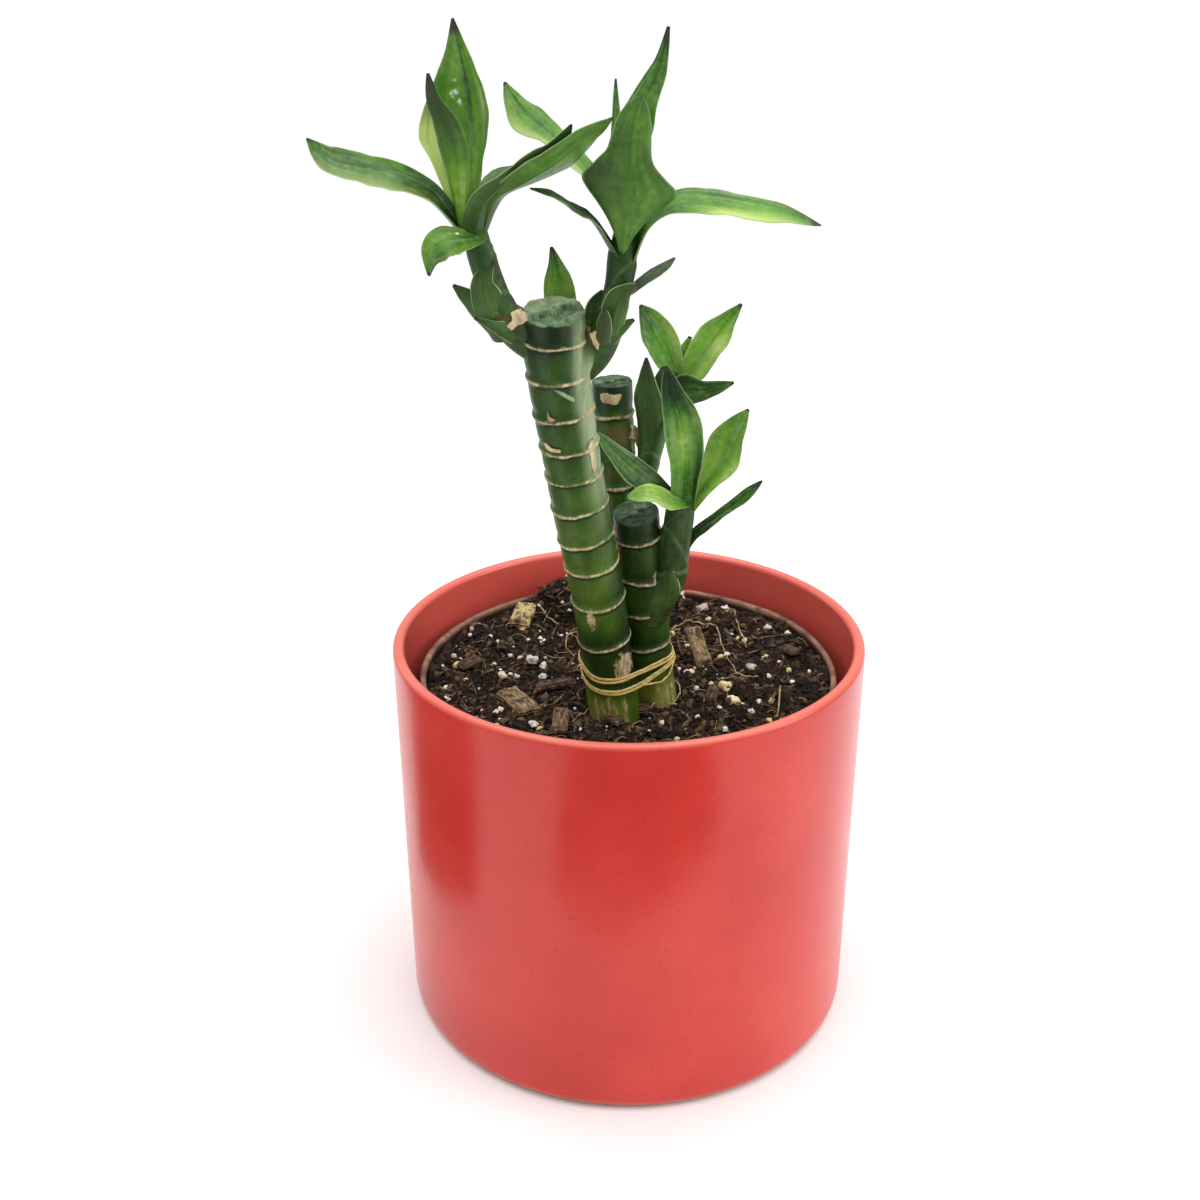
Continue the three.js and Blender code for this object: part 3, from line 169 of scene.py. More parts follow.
# Leaves: midrib points, half widths left and right of it, cupping in degrees and the way that the
# upper side faces at the root; then tone from root to tip (0 dark, 1 bright), the tone's shift on
# the under side, yellow bands (along part of the blade) and pale margins left and right, length of the
# dry tip, and waviness. Spots are paler or darker patches, partly the leaf's own tone and partly painted light and
# shade such as a shaded fold or a patch of sheen: place along, reach, place across, width, change.
# Glints are painted highlights, small bright patches: place along, reach, place across, width.
LEAVES = {
    "left_tall": dict(rib=[(-36, -46, 227), (-35.2, -44.2, 236), (-34.1, -42.8, 244.5), (-34.8, -42, 253),
        (-36, -42, 261), (-37.4, -43, 269)], half=[(1.6, 2.6), (4.4, 3.8), (8, 3.8), (11.6, 4), (11.8, 5), (9.2, 5.2),
        (6, 3.8), (2.5, 1.7), (0.3, 0.3)], cup=[110, 80, 65, 60, 50, 10], face=(-0.45, -0.85, 0.2),
        tone=[0.8, 0.7, 0.58, 0.42], under=-0.2, band=(0.95, 0), band_along=(0.12, 0.52), margin=(0.3, 0.3), tip=0.09,
        wave=0.25, midrib=0.5, spots=[(0.72, 0.2, 0.06, 0.18, -0.26), (0.6, 0.14, 0.72, 0.13, 0.24),
        (0.5, 0.2, 0.97, 0.12, -0.2), (0.78, 0.1, -0.4, 0.3, 0.14), (0.3, 0.16, 0.3, 0.3, 0.14)],
        glints=[(0.7, 0.014, -0.32, 0.09), (0.64, 0.02, -0.34, 0.12), (0.6, 0.02, -0.22, 0.07)]),
    "left_folded": dict(rib=[(-36.4, -48.6, 226.5), (-36.5, -50.4, 235), (-36.8, -51.4, 242.5), (-38.6, -52.2, 249),
        (-41, -53, 254), (-41.8, -54, 259.2)], half=[(1, 1.2), (1.4, 2.6), (2.2, 4.2), (2.6, 4.8), (2.7, 4.2),
        (1.9, 2.7), (1.2, 1.4), (0.3, 0.3)], cup=[120, 100, 80, 70, 20], face=(0.3, 0.9, 0.1),
        tone=[0.9, 0.68, 0.3, 0.08], under=-0.02, margin=(0.3, 0.3), tip=0.13, wave=0.1),
    "left_far": dict(rib=[(-36.2, -46.5, 225.5), (-42.4, -47.3, 234.4), (-50, -48.2, 238.5), (-57, -49.5, 240.2),
        (-63.5, -51, 242.3), (-67.5, -52, 246.5)], half=[(2.4, 1.8), (4.6, 2), (6.2, 2.5), (6.4, 3.1), (5.8, 3.4),
        (5.8, 3.8), (5.2, 3.6), (3.4, 2.4), (0.3, 0.3)], cup=[140, 100, 60, 50, 40, 10], face=(0.3, -0.45, 0.85),
        tone=[0.18, 0.32, 0.4, 0.34], under=0, band=(0.35, 0), margin=(0.8, 0.2), wave=0.3, midrib=0.15,
        spots=[(0.55, 0.4, 0.3, 0.2, -0.16)]),
    "left_dark": dict(rib=[(-34.2, -49, 225), (-32.2, -51.8, 233.2), (-26.7, -55, 238.5), (-21.6, -57.2, 242.2),
        (-16.6, -59.2, 245.2), (-13, -61, 250)], half=[(3, 3), (5, 3), (5.8, 2.4), (5, 1.9), (4.6, 2.1), (5, 2.4),
        (2.8, 1.8), (0.3, 0.3)], cup=[150, 120, 70, 55, 50, 10], face=(-0.5, 0.8, 0.3), tone=[0.12, 0.16, 0.2, 0.14],
        under=0.05, margin=(0.4, 1), wave=0.25),
    "left_sweep": dict(rib=[(-32.4, -46.5, 226.5), (-29.6, -50.4, 234), (-23.5, -54.4, 238), (-16.5, -57.5, 242.4),
        (-10, -60, 248), (-4.8, -61, 251.3)], half=[(2.4, 1.8), (3.8, 1.6), (5.6, 2.4), (6.8, 3.8), (8, 4.6),
        (8, 4.5), (6.6, 3.3), (3.6, 1.7), (0.3, 0.3)], cup=[130, 90, 50, 45, 35, 10], face=(-0.5, 0.7, 0.5),
        tone=[0.24, 0.36, 0.48, 0.36], under=0.06, wave=0.25),
    "left_curled": dict(rib=[(-31.6, -48.4, 226.2), (-35.6, -51.3, 226), (-40, -53.4, 225.8), (-43, -54.4, 223),
        (-43.6, -54, 218.7)], half=[(1, 0.8), (2.6, 1.8), (3.8, 2.6), (4.6, 3.6), (4.2, 3), (2, 1.4), (0.3, 0.3)],
        cup=[60, 45, 40, 40, 10], face=(-0.1, -0.75, 0.6), tone=[0.45, 0.54, 0.54, 0.46], under=-0.15,
        band=(0.1, 0.1), margin=(0.4, 0.4), tip=0.06, wave=0.35, glints=[(0.34, 0.03, 0.45, 0.12)],
        spots=[(0.5, 0.1, 0.2, 0.5, 0.12), (0.7, 0.12, -0.5, 0.4, -0.14)]),
    "left_back": dict(rib=[(-33.4, -43, 227), (-30.8, -38, 233.4), (-28.6, -33.5, 236.8), (-26.4, -30, 238)],
        half=[(3, 3), (3.6, 3.6), (3, 3), (0.4, 0.4)], cup=[120, 70, 50, 20], face=(-0.4, -0.6, 0.6),
        tone=[0.25, 0.3, 0.35], under=-0.05, tip=0.08, midrib=0.4),
    "right_broad": dict(rib=[(-2.6, -50.2, 222), (-2.2, -51.6, 229.5), (-1.5, -53, 236.5), (-1.1, -53.3, 242.8),
        (-0.5, -52.3, 248.6), (1.2, -51, 254.4)], half=[(0.7, 0.7), (1.6, 1.5), (4.4, 3.3), (8.4, 6), (10.9, 9.2),
        (7.8, 10.1), (5.2, 7.6), (4.5, 5.2), (4.3, 4.5), (3.9, 3.9), (2.5, 2.6), (0.3, 0.3)],
        cup=[60, 60, 55, 50, 60, 30], face=(0, 1, 0), tone=[0.6, 0.46, 0.4, 0.34], under=0, margin=(0.5, 0.7),
        tip=0.01, midrib=0, spots=[(0.42, 0.12, -0.7, 0.35, 0.14)]),
    "right_up": dict(rib=[(-2.4, -45.4, 226.5), (-2.4, -42.8, 235.4), (-0.8, -41.3, 244.2), (1.5, -40.2, 252.2),
        (5, -39.3, 259.2), (7, -39, 267.1)], half=[(1.8, 1.8), (2.4, 2.8), (3.3, 3.5), (4, 4), (4, 4.1), (2.5, 3.4),
        (1.9, 2.4), (0.9, 1.2), (0.3, 0.3)], cup=[130, 90, 70, 60, 40, 10], face=(0, -1, 0.2),
        tone=[0.45, 0.52, 0.5, 0.34], under=-0.15, margin=(0.3, 0.4), tip=0.1, midrib=0.15),
    "right_narrow": dict(rib=[(-3.4, -47, 227), (-4.2, -47.6, 237), (-4.1, -48.1, 247.5), (-4.1, -48.2, 257.6)],
        half=[(1.6, 1.4), (3, 1.8), (3.4, 2.4), (3, 2.2), (1.5, 1.1), (0.3, 0.3)], cup=[120, 80, 60, 20],
        face=(0.8, -0.6, 0), tone=[0.2, 0.25, 0.4, 0.3], under=0, tip=0.08, wave=0.1, midrib=0.4),
    "right_crossing": dict(rib=[(-2.7, -45.6, 226), (-6.6, -40.6, 234), (-12, -36.3, 240), (-18.2, -33.2, 245),
        (-24, -31.6, 249.5), (-27.9, -31, 255.6)], half=[(2.2, 1.2), (2.5, 1.6), (2.6, 1.8), (2.9, 2), (3.4, 2.4),
        (4.2, 3), (5.4, 3.5), (3.2, 2), (0.3, 0.3)], cup=[130, 90, 50, 45, 30, 10], face=(0.4, -0.9, 0.35),
        tone=[0.45, 0.55, 0.58, 0.5], band=(0.6, 0), margin=(0.5, 0.2), wave=0.3, midrib=0.15),
    "right_far": dict(rib=[(-0.8, -46.5, 219.5), (2.2, -47, 228), (8.4, -46, 232.7), (16.5, -44.7, 232.5),
        (25, -43, 230.9), (33, -41.7, 229.3), (40.7, -40, 226.5)], half=[(2, 3), (2, 4), (1.8, 4.4), (2.6, 6.2),
        (3.2, 7.4), (3.5, 7.3), (3.4, 6.6), (2.9, 5), (1.9, 3), (0.3, 0.3)], cup=[130, 90, 55, 50, 40, 30, 10],
        face=(-0.4, -0.45, 0.8), tone=[0.44, 0.5, 0.56, 0.56], band=(0, 0.95), band_along=(0.5, 0.92),
        margin=(0.2, 0.5), tip=0.07, wave=0.25, midrib=0.2, spots=[(0.6, 0.3, -0.6, 0.3, -0.14),
        (0.32, 0.08, 0, 0.3, 0.2)]),
    "right_edge": dict(rib=[(-4.2, -48.2, 221.5), (-8.6, -50.2, 229.2), (-13, -52.5, 232.6), (-17.5, -54.6, 235.6),
        (-21.7, -56, 236.9)], half=[(2.4, 1.8), (2.8, 1.6), (3, 1.3), (2.6, 1.2), (1.6, 1), (0.3, 0.3)],
        cup=[110, 60, 50, 40, 10], face=(0.5, -0.2, 0.8), tone=[0.16, 0.2, 0.3, 0.25], under=0.06, margin=(0.6, 0.6),
        tip=0.05, wave=0.3),
    "right_small": dict(rib=[(-1.6, -46.6, 213), (2.2, -44.8, 215.8), (5.7, -42.2, 217.7), (9, -40, 219.6)],
        half=[(1.2, 1.6), (1.4, 2.6), (1.3, 2.6), (0.3, 0.3)], cup=[60, 50, 40, 10], face=(-0.5, -0.5, 0.7),
        tone=[0.2, 0.22, 0.3], under=0, margin=(0.4, 0.4), tip=0.15, wave=0.1, midrib=0.3),
    "bud": dict(rib=[(-16.6, -36.4, 201), (-16.4, -35.6, 209.5), (-17.2, -35, 216.5), (-18.2, -35.2, 221.2)],
        half=[(2.6, 2.6), (3.7, 3.7), (3.4, 3.4), (1.5, 1.5), (0.3, 0.3)], cup=[60, 60, 50, 20], face=(0, -1, 0),
        tone=[1, 0.86, 0.52, 0.1], band=(0, 0.2), margin=(0.2, 0.5), tip=0.12, wave=0.1),
    "middle_upright": dict(rib=[(10.4, -10, 178.5), (11, -9.8, 185.5), (9, -9, 191.5), (5.6, -7.2, 197),
        (2.4, -6, 201.6)], half=[(2.4, 2.4), (3.2, 2.2), (4, 2.6), (4.8, 3.5), (4.7, 3.8), (2.6, 2.6), (0.3, 0.3)],
        cup=[130, 90, 60, 50, 10], face=(0.2, -1, 0.2), tone=[0.62, 0.56, 0.5, 0.3], band=(0, 0.3), margin=(0.3, 0.3),
        tip=0.04, midrib=0.25),
    "middle_right": dict(rib=[(10.6, -9.8, 178.5), (14, -9.7, 184.5), (18.3, -9, 191.3), (22.6, -7.9, 196.8),
        (27.2, -7, 202)], half=[(2.2, 2.4), (2.6, 3.2), (3.3, 4.3), (3.9, 4.4), (3.8, 4.3), (1.9, 2.1), (0.3, 0.3)],
        cup=[130, 90, 60, 50, 10], face=(-0.3, -1, 0.3), tone=[0.95, 0.9, 0.7, 0.3], under=-0.2, band=(0, 0.25),
        margin=(0.2, 0.4), tip=0.05, midrib=0.2),
    "middle_low": dict(rib=[(9.4, -10.8, 177.5), (12.8, -12.6, 182), (18, -15.2, 182.8), (24.9, -18, 185.3)],
        half=[(2.4, 2.8), (3.4, 4.6), (3.6, 4.8), (2.5, 3.3), (1.5, 2), (0.3, 0.3)], cup=[90, 60, 50, 10],
        face=(-0.2, -0.75, 0.65), tone=[0.4, 0.26, 0.36, 0.2], under=-0.05, tip=0.04, midrib=0.15),
    "middle_inner": dict(rib=[(11, -8.6, 181), (12.4, -8, 188), (14.8, -7.2, 194)], half=[(2, 2), (2.2, 2.2),
        (0.4, 0.4)], cup=[110, 80, 30], face=(0, -1, 0), tone=[0.9, 0.8, 0.7], band=(0.2, 0.2), tip=0.06, wave=0.1,
        midrib=0.3),
    "short_tall": dict(rib=[(12.4, -29.6, 158), (12.4, -31.4, 165.5), (12.4, -33, 172.5), (11.5, -34.1, 180),
        (9.4, -35, 187), (7.6, -36, 194.3)], half=[(3.6, 3.8), (3.6, 4), (3.8, 4.4), (4.4, 5), (4.6, 5.1), (3.8, 4.2),
        (2.3, 2.3), (0.3, 0.3)], cup=[160, 120, 90, 80, 60, 20], face=(0, -1, 0.2),
        tone=[0.56, 0.66, 0.64, 0.28, 0.12], under=-0.35, tip=0.05, wave=0.15, spots=[(0.3, 0.2, 0.8, 0.26, -0.5),
        (0.45, 0.16, 0, 0.3, 0.14), (0.12, 0.1, -0.5, 0.4, 0.1)]),
    "short_right": dict(rib=[(14.4, -28, 156.8), (17.8, -26.8, 162.4), (21.7, -25.6, 168), (24.5, -24.7, 174.3),
        (28.1, -24, 180.4)], half=[(1.8, 2.4), (2, 2.8), (3.2, 4), (4.6, 5), (4.9, 4.2), (2.9, 2.4), (0.3, 0.3)],
        cup=[140, 90, 60, 50, 10], face=(-0.4, -0.9, 0.4), tone=[0.85, 0.78, 0.68, 0.5], under=-0.2,
        band=(0.15, 0.15), margin=(0.3, 0.3), midrib=0.4),
    "short_dark": dict(rib=[(10.6, -29.2, 159), (6.6, -31, 163), (2, -33.3, 167.3), (-3.4, -36, 173),
        (-8.9, -38, 179.5)], half=[(1.8, 1.8), (3, 2), (4.2, 2.6), (4.4, 2.9), (3.9, 2.5), (2.2, 1.6), (0.3, 0.3)],
        cup=[120, 90, 60, 50, 20], face=(0.5, -0.7, 0.3), tone=[0.12, 0.22, 0.28, 0.22], under=-0.05,
        margin=(0.6, 0.9), tip=0.05, midrib=0.2, spots=[(0.5, 0.24, 0.1, 0.3, 0.2)]),
    "short_curled": dict(rib=[(13.6, -30.6, 158.6), (9.4, -35, 161), (4, -37.8, 164), (-1.4, -38.8, 163.3)],
        half=[(1, 1), (1.8, 1.4), (3.6, 2.5), (3.9, 2.7), (2.4, 1.9), (0.3, 0.3)], cup=[60, 60, 60, 30],
        face=(0, -0.7, 0.7), tone=[0.6, 0.7, 0.76, 0.7], band=(0.25, 0.1), margin=(0.7, 0.7), wave=0.3),
    "short_low": dict(rib=[(12.8, -24.3, 142), (15.4, -24.9, 148), (20.8, -25, 153), (26.6, -25, 157.6),
        (32, -25, 162.6)], half=[(2, 2.4), (1.5, 1.9), (1.6, 2), (1.3, 1.7), (1.5, 1.8), (1.5, 1.8), (0.3, 0.3)],
        cup=[90, 60, 50, 40, 10], face=(-0.4, -0.5, 0.75), tone=[0.3, 0.26, 0.3, 0.25], under=0.08, margin=(0.4, 0.4),
        tip=0.1, wave=0.35, midrib=0.3),
}
PLAIN_LEAF = dict(under=-0.1, band=(0, 0), band_along=(-1, 2), margin=(0.5, 0.5), tip=0.03, wave=0.2, midrib=0.1,
                  spots=[], glints=[])
PLAIN_BRACT = dict(PLAIN_LEAF, tone=[0.4, 0.34, 0.2], under=0.04, margin=(1, 1), tip=0.1, wave=0.1)

# Straw wound round the canes: angle round them, from the right and back to it, and height there
TIE = {
    "upper": [(-270, 114), (-180, 115.4), (-150, 115.4), (-136, 114.8), (-129, 112.4), (-118, 111), (-94, 110.9),
        (-73, 111.2), (-40, 111.3), (-10, 111.8), (14, 112.8), (90, 114)],
    "lower": [(-270, 111.5), (-180, 112.8), (-150, 112), (-142, 111), (-133, 109), (-121, 107.8), (-100, 107.2),
        (-70, 107.3), (-46, 108.2), (-22, 109), (-10, 110), (40, 111), (90, 111.5)],
    "loose": [(-62, 107.4), (-49, 106.8), (-25, 105.8), (-13, 107), (-6, 109.4), (12, 111.4)],
}
# Its strands: the way each takes, how far up and out it is shifted, and its width
TIE_STRANDS = [("upper", 0.45, 0.35, 0.8), ("upper", -0.4, 0.45, 0.75), ("lower", 0.4, 0.35, 0.8),
               ("lower", -0.45, 0.4, 0.8), ("loose", 0.0, 0.7, 0.6)]

# Bark: length, width and height; then how far it is turned, leans, is bleached and is tinted
CHIPS = {
    "right": dict(at=(19.8, 9), size=(13, 5, 2.4), turn=107, lean=33, pale=0.25, tint=0.1),
    "left": dict(at=(-29.5, -19.5), size=(14, 6.5, 2.6), turn=-59, lean=0, pale=0.25, tint=0.15),
    "front": dict(at=(-18, -30), size=(12, 4.6, 2.2), turn=88, lean=0, pale=0.0, tint=0.2),
    "back": dict(at=(-30.5, 33), size=(9, 6.5, 3), turn=75, lean=20, pale=0.9, tint=0.0),
}
# Smaller flakes, by their place in the picture
LOOSE_BARK = [
    dict(seen=(556, 690), size=(11, 3.6, 1.6), turn=14, lean=3),
    dict(seen=(612, 726), size=(6, 3, 1.8), turn=-35, lean=5),
    dict(seen=(470, 668), size=(7, 4, 1.6), turn=40, lean=6),
    dict(seen=(790, 655), size=(6, 3.4, 1.5), turn=-60, lean=4),
    dict(seen=(712, 700), size=(7, 3.4, 1.8), turn=75, lean=6),
    dict(seen=(640, 716), size=(6, 4, 2.0), turn=10, lean=4),
]

# Grains that stand out in the soil: place in the picture, size across and tint
GRAINS = [
    (553.8, 576.8, 2.6, 0.85), (562.4, 605.5, 1.0, 0.6), (569.7, 615, 1.2, 0.7), (532.4, 664, 3.0, 0.35),
    (543.3, 668.3, 2.2, 0.4), (502.8, 678, 2.4, 0.86), (543.3, 679.5, 2.0, 0.3), (517, 679, 1.6, 0.4),
    (454, 659, 1.6, 0.3), (445.4, 689, 1.4, 0.6), (496.4, 714.5, 1.5, 0.6), (534, 727, 2.2, 0.5),
    (650.4, 697, 1.9, 0.7), (724.4, 690.6, 3.0, 0.95), (734, 705, 3.2, 0.9), (751.5, 713, 1.6, 0.6),
    (758.5, 704, 1.3, 0.6), (725, 730.5, 1.5, 0.7), (687, 674.7, 1.8, 0.7), (726.6, 657, 1.7, 0.5),
    (769, 678, 1.4, 0.5), (802.5, 631.6, 1.5, 0.6), (767.4, 630, 2.0, 0.3), (730.8, 606.7, 2.3, 0.4),
    (702, 611, 3.2, 0.15), (684.5, 591.7, 2.6, 0.3), (751.5, 670, 2.6, 0.2), (447, 628.4, 1.3, 0.3),
    (469.3, 638, 1.4, 0.4), (541, 641, 1.4, 0.7), (510.7, 657, 1.3, 0.4), (597, 660, 1.2, 0.4),
]

# Roots that lie on the soil, by places in the picture
ROOTS = [
    [(671, 634), (681, 628), (696, 624), (710, 627), (719, 638), (724, 654), (733, 668), (741, 679), (758, 681)],
    [(736, 612), (738, 630), (746, 652)],
    [(541, 612), (549, 622), (559, 628)],
    [(579, 632), (569, 638), (566, 647), (568, 654), (574, 658)],
    [(573, 725), (580, 719), (588, 714), (597, 715)],
    [(648, 714), (652, 708), (659, 706), (667, 708), (676, 709)],
    [(670, 680), (677, 686), (680, 694), (678, 702), (673, 705)],
    [(681, 715), (686, 718), (691, 724)],
    [(597, 716), (600, 722), (604, 726)],
    [(780, 690), (779, 705), (776, 722)],
    [(668, 640), (673, 634), (680, 632)],
]

# Where a shoot leaves the tall cane, the cane swells round its foot
# Each collar also takes a share of the pale sheen painted on the canes
COLLARS = [
    dict(path=[(-18.6, -43.6, 203), (-23.6, -44, 204.8), (-28, -44.8, 207.4), (-30.5, -45.4, 211)],
         radius=[5.6, 4.3, 3.9, 3.4], seed=4, bloom=0.1, husk=1.0),
    dict(path=[(-16.6, -42.8, 192), (-12.6, -43.2, 197.4), (-9.2, -43.7, 201.4), (-7, -44.4, 205)],
         radius=[6.6, 4.8, 4, 3.7], seed=9, bloom=1.0, husk=0.4),
]

# Dry husk that clings to the canes: its outline in the picture, clockwise
HUSKS = [
    ("tall", [(510, 313), (519, 309), (527, 315), (526, 322), (517, 326), (511, 331), (507, 326), (512, 320)]),
    ("tall", [(589, 334), (596, 331), (601, 336), (599, 341), (605, 346), (605, 352), (598, 350), (594, 345)]),
    ("tall", [(590, 442), (594, 439), (595, 452), (596, 465), (595, 471), (592, 468), (591, 458), (588, 450)]),
    ("tall", [(547, 412), (548, 411), (550, 417), (555, 420), (553, 422), (548, 421)]),
    ("tall", [(543, 444), (546, 443), (551, 448), (560, 450), (559, 453), (549, 451)]),
    ("middle", [(600, 394), (606, 393), (613, 395), (621, 394), (620, 400), (616, 405), (609, 404), (602, 402)]),
    ("middle", [(630, 425), (636, 426), (640, 431), (640, 447), (637, 447), (634, 440), (629, 438), (632, 432)]),
]


# Smooth runs along a list of values, evenly spaced over 0 to 1
def run(values, t):
    values, t = np.asarray(values, float), np.asarray(t, float)
    last = len(values) - 1
    x = np.clip(t, 0, 1) * last
    i = np.minimum(x.astype(int), last - 1)
    f = x - i
    a, b, c, d = (values[k] for k in (np.maximum(i - 1, 0), i, i + 1, np.minimum(i + 2, last)))
    if values.ndim > 1:
        f = f[..., None]
    m1, m2 = (c - a) / 2, (d - b) / 2
    f2 = f * f
    f3 = f2 * f
    return (2 * f3 - 3 * f2 + 1) * b + (f3 - 2 * f2 + f) * m1 + (3 * f2 - 2 * f3) * c + (f3 - f2) * m2


def unit(v):
    return v / np.linalg.norm(v, axis=-1, keepdims=True)


def heading(points, t):
    t = np.asarray(t, float)
    return unit(run(points, np.minimum(t + 0.004, 1)) - run(points, np.maximum(t - 0.004, 0)))


def ease(low, high, value):
    x = np.clip((np.asarray(value, float) - low) / (high - low), 0, 1)
    return x * x * (3 - 2 * x)


def hump(value, wide):
    # 1 where the value is 0, falling off smoothly to either side
    return np.exp(-(value / wide) ** 2)


def lumps(x, y=0.0, z=0.0):
    # Smooth noise of about -1 to 1 over arrays of places
    x, y, z = np.broadcast_arrays(np.asarray(x, float), np.asarray(y, float), np.asarray(z, float))
    flat = [noise.noise((a, b, c)) for a, b, c in zip(x.ravel(), y.ravel(), z.ravel())]
    return np.array(flat).reshape(x.shape)


def circle(sides):
    # Angles round a circle, with their cosines and sines as rows
    angle = np.linspace(0, 2 * math.pi, sides, endpoint=False)
    return angle, np.cos(angle)[None, :], np.sin(angle)[None, :]


def place_at_height(axis, z):
    z = np.asarray(z, float)
    low, high = np.zeros_like(z), np.ones_like(z)
    for _ in range(36):
        middle = (low + high) / 2
        below = run(axis, middle)[..., 2] < z
        low, high = np.where(below, middle, low), np.where(below, high, middle)
    return (low + high) / 2


# Pieces: shapes are lists of points in millimetres, faces, and values marked on the points
def grid_faces(rows, columns, closed, start=0):
    faces = []
    for i in range(rows - 1):
        for k in range(columns if closed else columns - 1):
            a, b = (start + i * columns + j % columns for j in (k, k + 1))
            faces.append((a, b, b + columns, a + columns))
    return faces


def round_form(centre, along, radius, c, s, lead=0):
    # Points round a middle line; the turn starts on the side of the axis that leads
    side = unit(np.eye(3)[lead] - along * along[..., lead:lead + 1])
    other = np.cross(along, side)
    if centre.ndim == 2:
        centre, side, other = centre[:, None], side[:, None], other[:, None]
    return centre + radius[..., None] * (side * c[..., None] + other * s[..., None]), side, other


def round_faces(rows, sides):
    # Rings of a round form, closed by a point at each end
    faces = grid_faces(rows, sides, True)
    low, last = rows * sides, (rows - 1) * sides
    for k in range(sides):
        after = (k + 1) % sides
        faces += [(low, after, k), (low + 1, last + k, last + after)]
    return faces


def listed(*parts):
    # Marks for all points of a form, part by part
    return np.concatenate([np.asarray(part, float).ravel() for part in parts])


def piece(name, shapes, finish, stands_for=(), flat=False):
    points, faces = [], []
    names = sorted({mark for shape in shapes for mark in shape[2]})
    marks = {mark: [] for mark in names}
    start = 0
    for shape_points, shape_faces, shape_marks in shapes:
        count = len(shape_points)
        points.append(np.asarray(shape_points, float) * MM)
        faces.extend(tuple(start + i for i in face) for face in shape_faces)
        for mark in names:
            marks[mark].append(np.broadcast_to(np.asarray(shape_marks.get(mark, 0.0), float), (count,)))
        start += count
    mesh = bpy.data.meshes.new(name)
    mesh.from_pydata(np.concatenate(points).tolist(), [], faces)
    for mark in names:
        hold_mark(mesh, mark, np.concatenate(marks[mark]))
    mesh.materials.append(finish)
    mesh.validate()
    return settle(name, mesh, stands_for, flat)


def hold_mark(mesh, mark, values):
    held = mesh.attributes.new(mark, "FLOAT", "POINT")
    held.data.foreach_set("value", values.astype(np.float32))


def settle(name, mesh, stands_for=(), flat=False):
    mesh.polygons.foreach_set("use_smooth", [not flat] * len(mesh.polygons))
    mesh.update()
    made = bpy.data.objects.new(name, mesh)
    scene.collection.objects.link(made)
    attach(made, "root")
    if stands_for:
        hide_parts(*stands_for)
    return made


# Nodes: what flows out of one, so that sums on it read as sums
class Flow:
    def __init__(self, socket):
        self.socket = socket

    def sum(self, way, *others, held=False):
        parts = dict(enumerate((self, *others)))
        return put(self.socket.id_data, "ShaderNodeMath", parts, operation=way, use_clamp=held)

    def spread(self, low, high, to_low=0.0, to_high=1.0):
        parts = {0: self, 1: low, 2: high, 3: to_low, 4: to_high}
        return put(self.socket.id_data, "ShaderNodeMapRange", parts)

    def __add__(self, other):
        return self.sum("ADD", other)

    def __sub__(self, other):
        return self.sum("SUBTRACT", other)

    def __mul__(self, other):
        return self.sum("MULTIPLY", other)


def put(tree, kind, sockets=None, out=0, **settings):
    made = tree.nodes.new(kind)
    for key, value in settings.items():
        setattr(made, key, value)
    for key, value in (sockets or {}).items():
        value = value.socket if isinstance(value, Flow) else value
        if isinstance(value, bpy.types.NodeSocket):
            tree.links.new(value, made.inputs[key])
        else:
            made.inputs[key].default_value = value
    return Flow(made.outputs[out])


# Geometry trees
def open_tree(name, **wanted):
    # An empty tree with its named inputs, listed by kind
    tree = bpy.data.node_groups.new(name, "GeometryNodeTree")
    face = tree.interface
    face.new_socket("Geometry", in_out="INPUT", socket_type="NodeSocketGeometry")
    face.new_socket("Geometry", in_out="OUTPUT", socket_type="NodeSocketGeometry")
    for kind, labels in dict(wanted, Material=["Finish"]).items():
        for label in labels:
            face.new_socket(label, in_out="INPUT", socket_type="NodeSocket" + kind)
    return tree, tree.nodes.new("NodeGroupInput").outputs


def close_tree(tree, given, geometry):
    real = put(tree, "GeometryNodeRealizeInstances", {0: geometry})
    done = put(tree, "GeometryNodeSetMaterial", {0: real, "Material": given["Finish"]})
    tree.links.new(done.socket, tree.nodes.new("NodeGroupOutput").inputs[0])
    return tree


def grown(name, base, tree, **values):
    # The plain mesh that a tree makes of a base mesh
    holder = bpy.data.objects.new(name + "_base", base)
    scene.collection.objects.link(holder)
    nodes = holder.modifiers.new("tree", "NODES")
    nodes.node_group = tree
    keys = {item.name: item.identifier for item in tree.interface.items_tree if item.in_out == "INPUT"}
    for label, value in values.items():
        nodes[keys[label]] = value
    bpy.context.view_layer.update()
    graph = bpy.context.evaluated_depsgraph_get()
    mesh = bpy.data.meshes.new_from_object(holder.evaluated_get(graph))
    mesh.name = name
    holder.modifiers.remove(nodes)
    bpy.data.objects.remove(holder)
    return mesh


def path_mesh(name, paths):
    points, edges = [], []
    for path in paths:
        edges.extend((len(points) + i, len(points) + i + 1) for i in range(len(path) - 1))
        points.extend([c * MM for c in p] for p in path)
    mesh = bpy.data.meshes.new(name)
    mesh.from_pydata(points, edges, [])
    return mesh


def turning_tree():
    # Turns a wall's outline round the upright axis, as on a potter's wheel
    tree, given = open_tree("turned_wall", Float=["Radius"], Int=["Sides"])
    wheel = put(tree, "GeometryNodeCurvePrimitiveCircle", {"Resolution": given["Sides"], "Radius": given["Radius"]})
    outline = put(tree, "GeometryNodeMeshToCurve", {0: given["Geometry"]})
    wall = put(tree, "GeometryNodeCurveToMesh", {"Curve": wheel, "Profile Curve": outline})
    return close_tree(tree, given, put(tree, "GeometryNodeMergeByDistance", {"Geometry": wall, "Distance": 0.00002}))


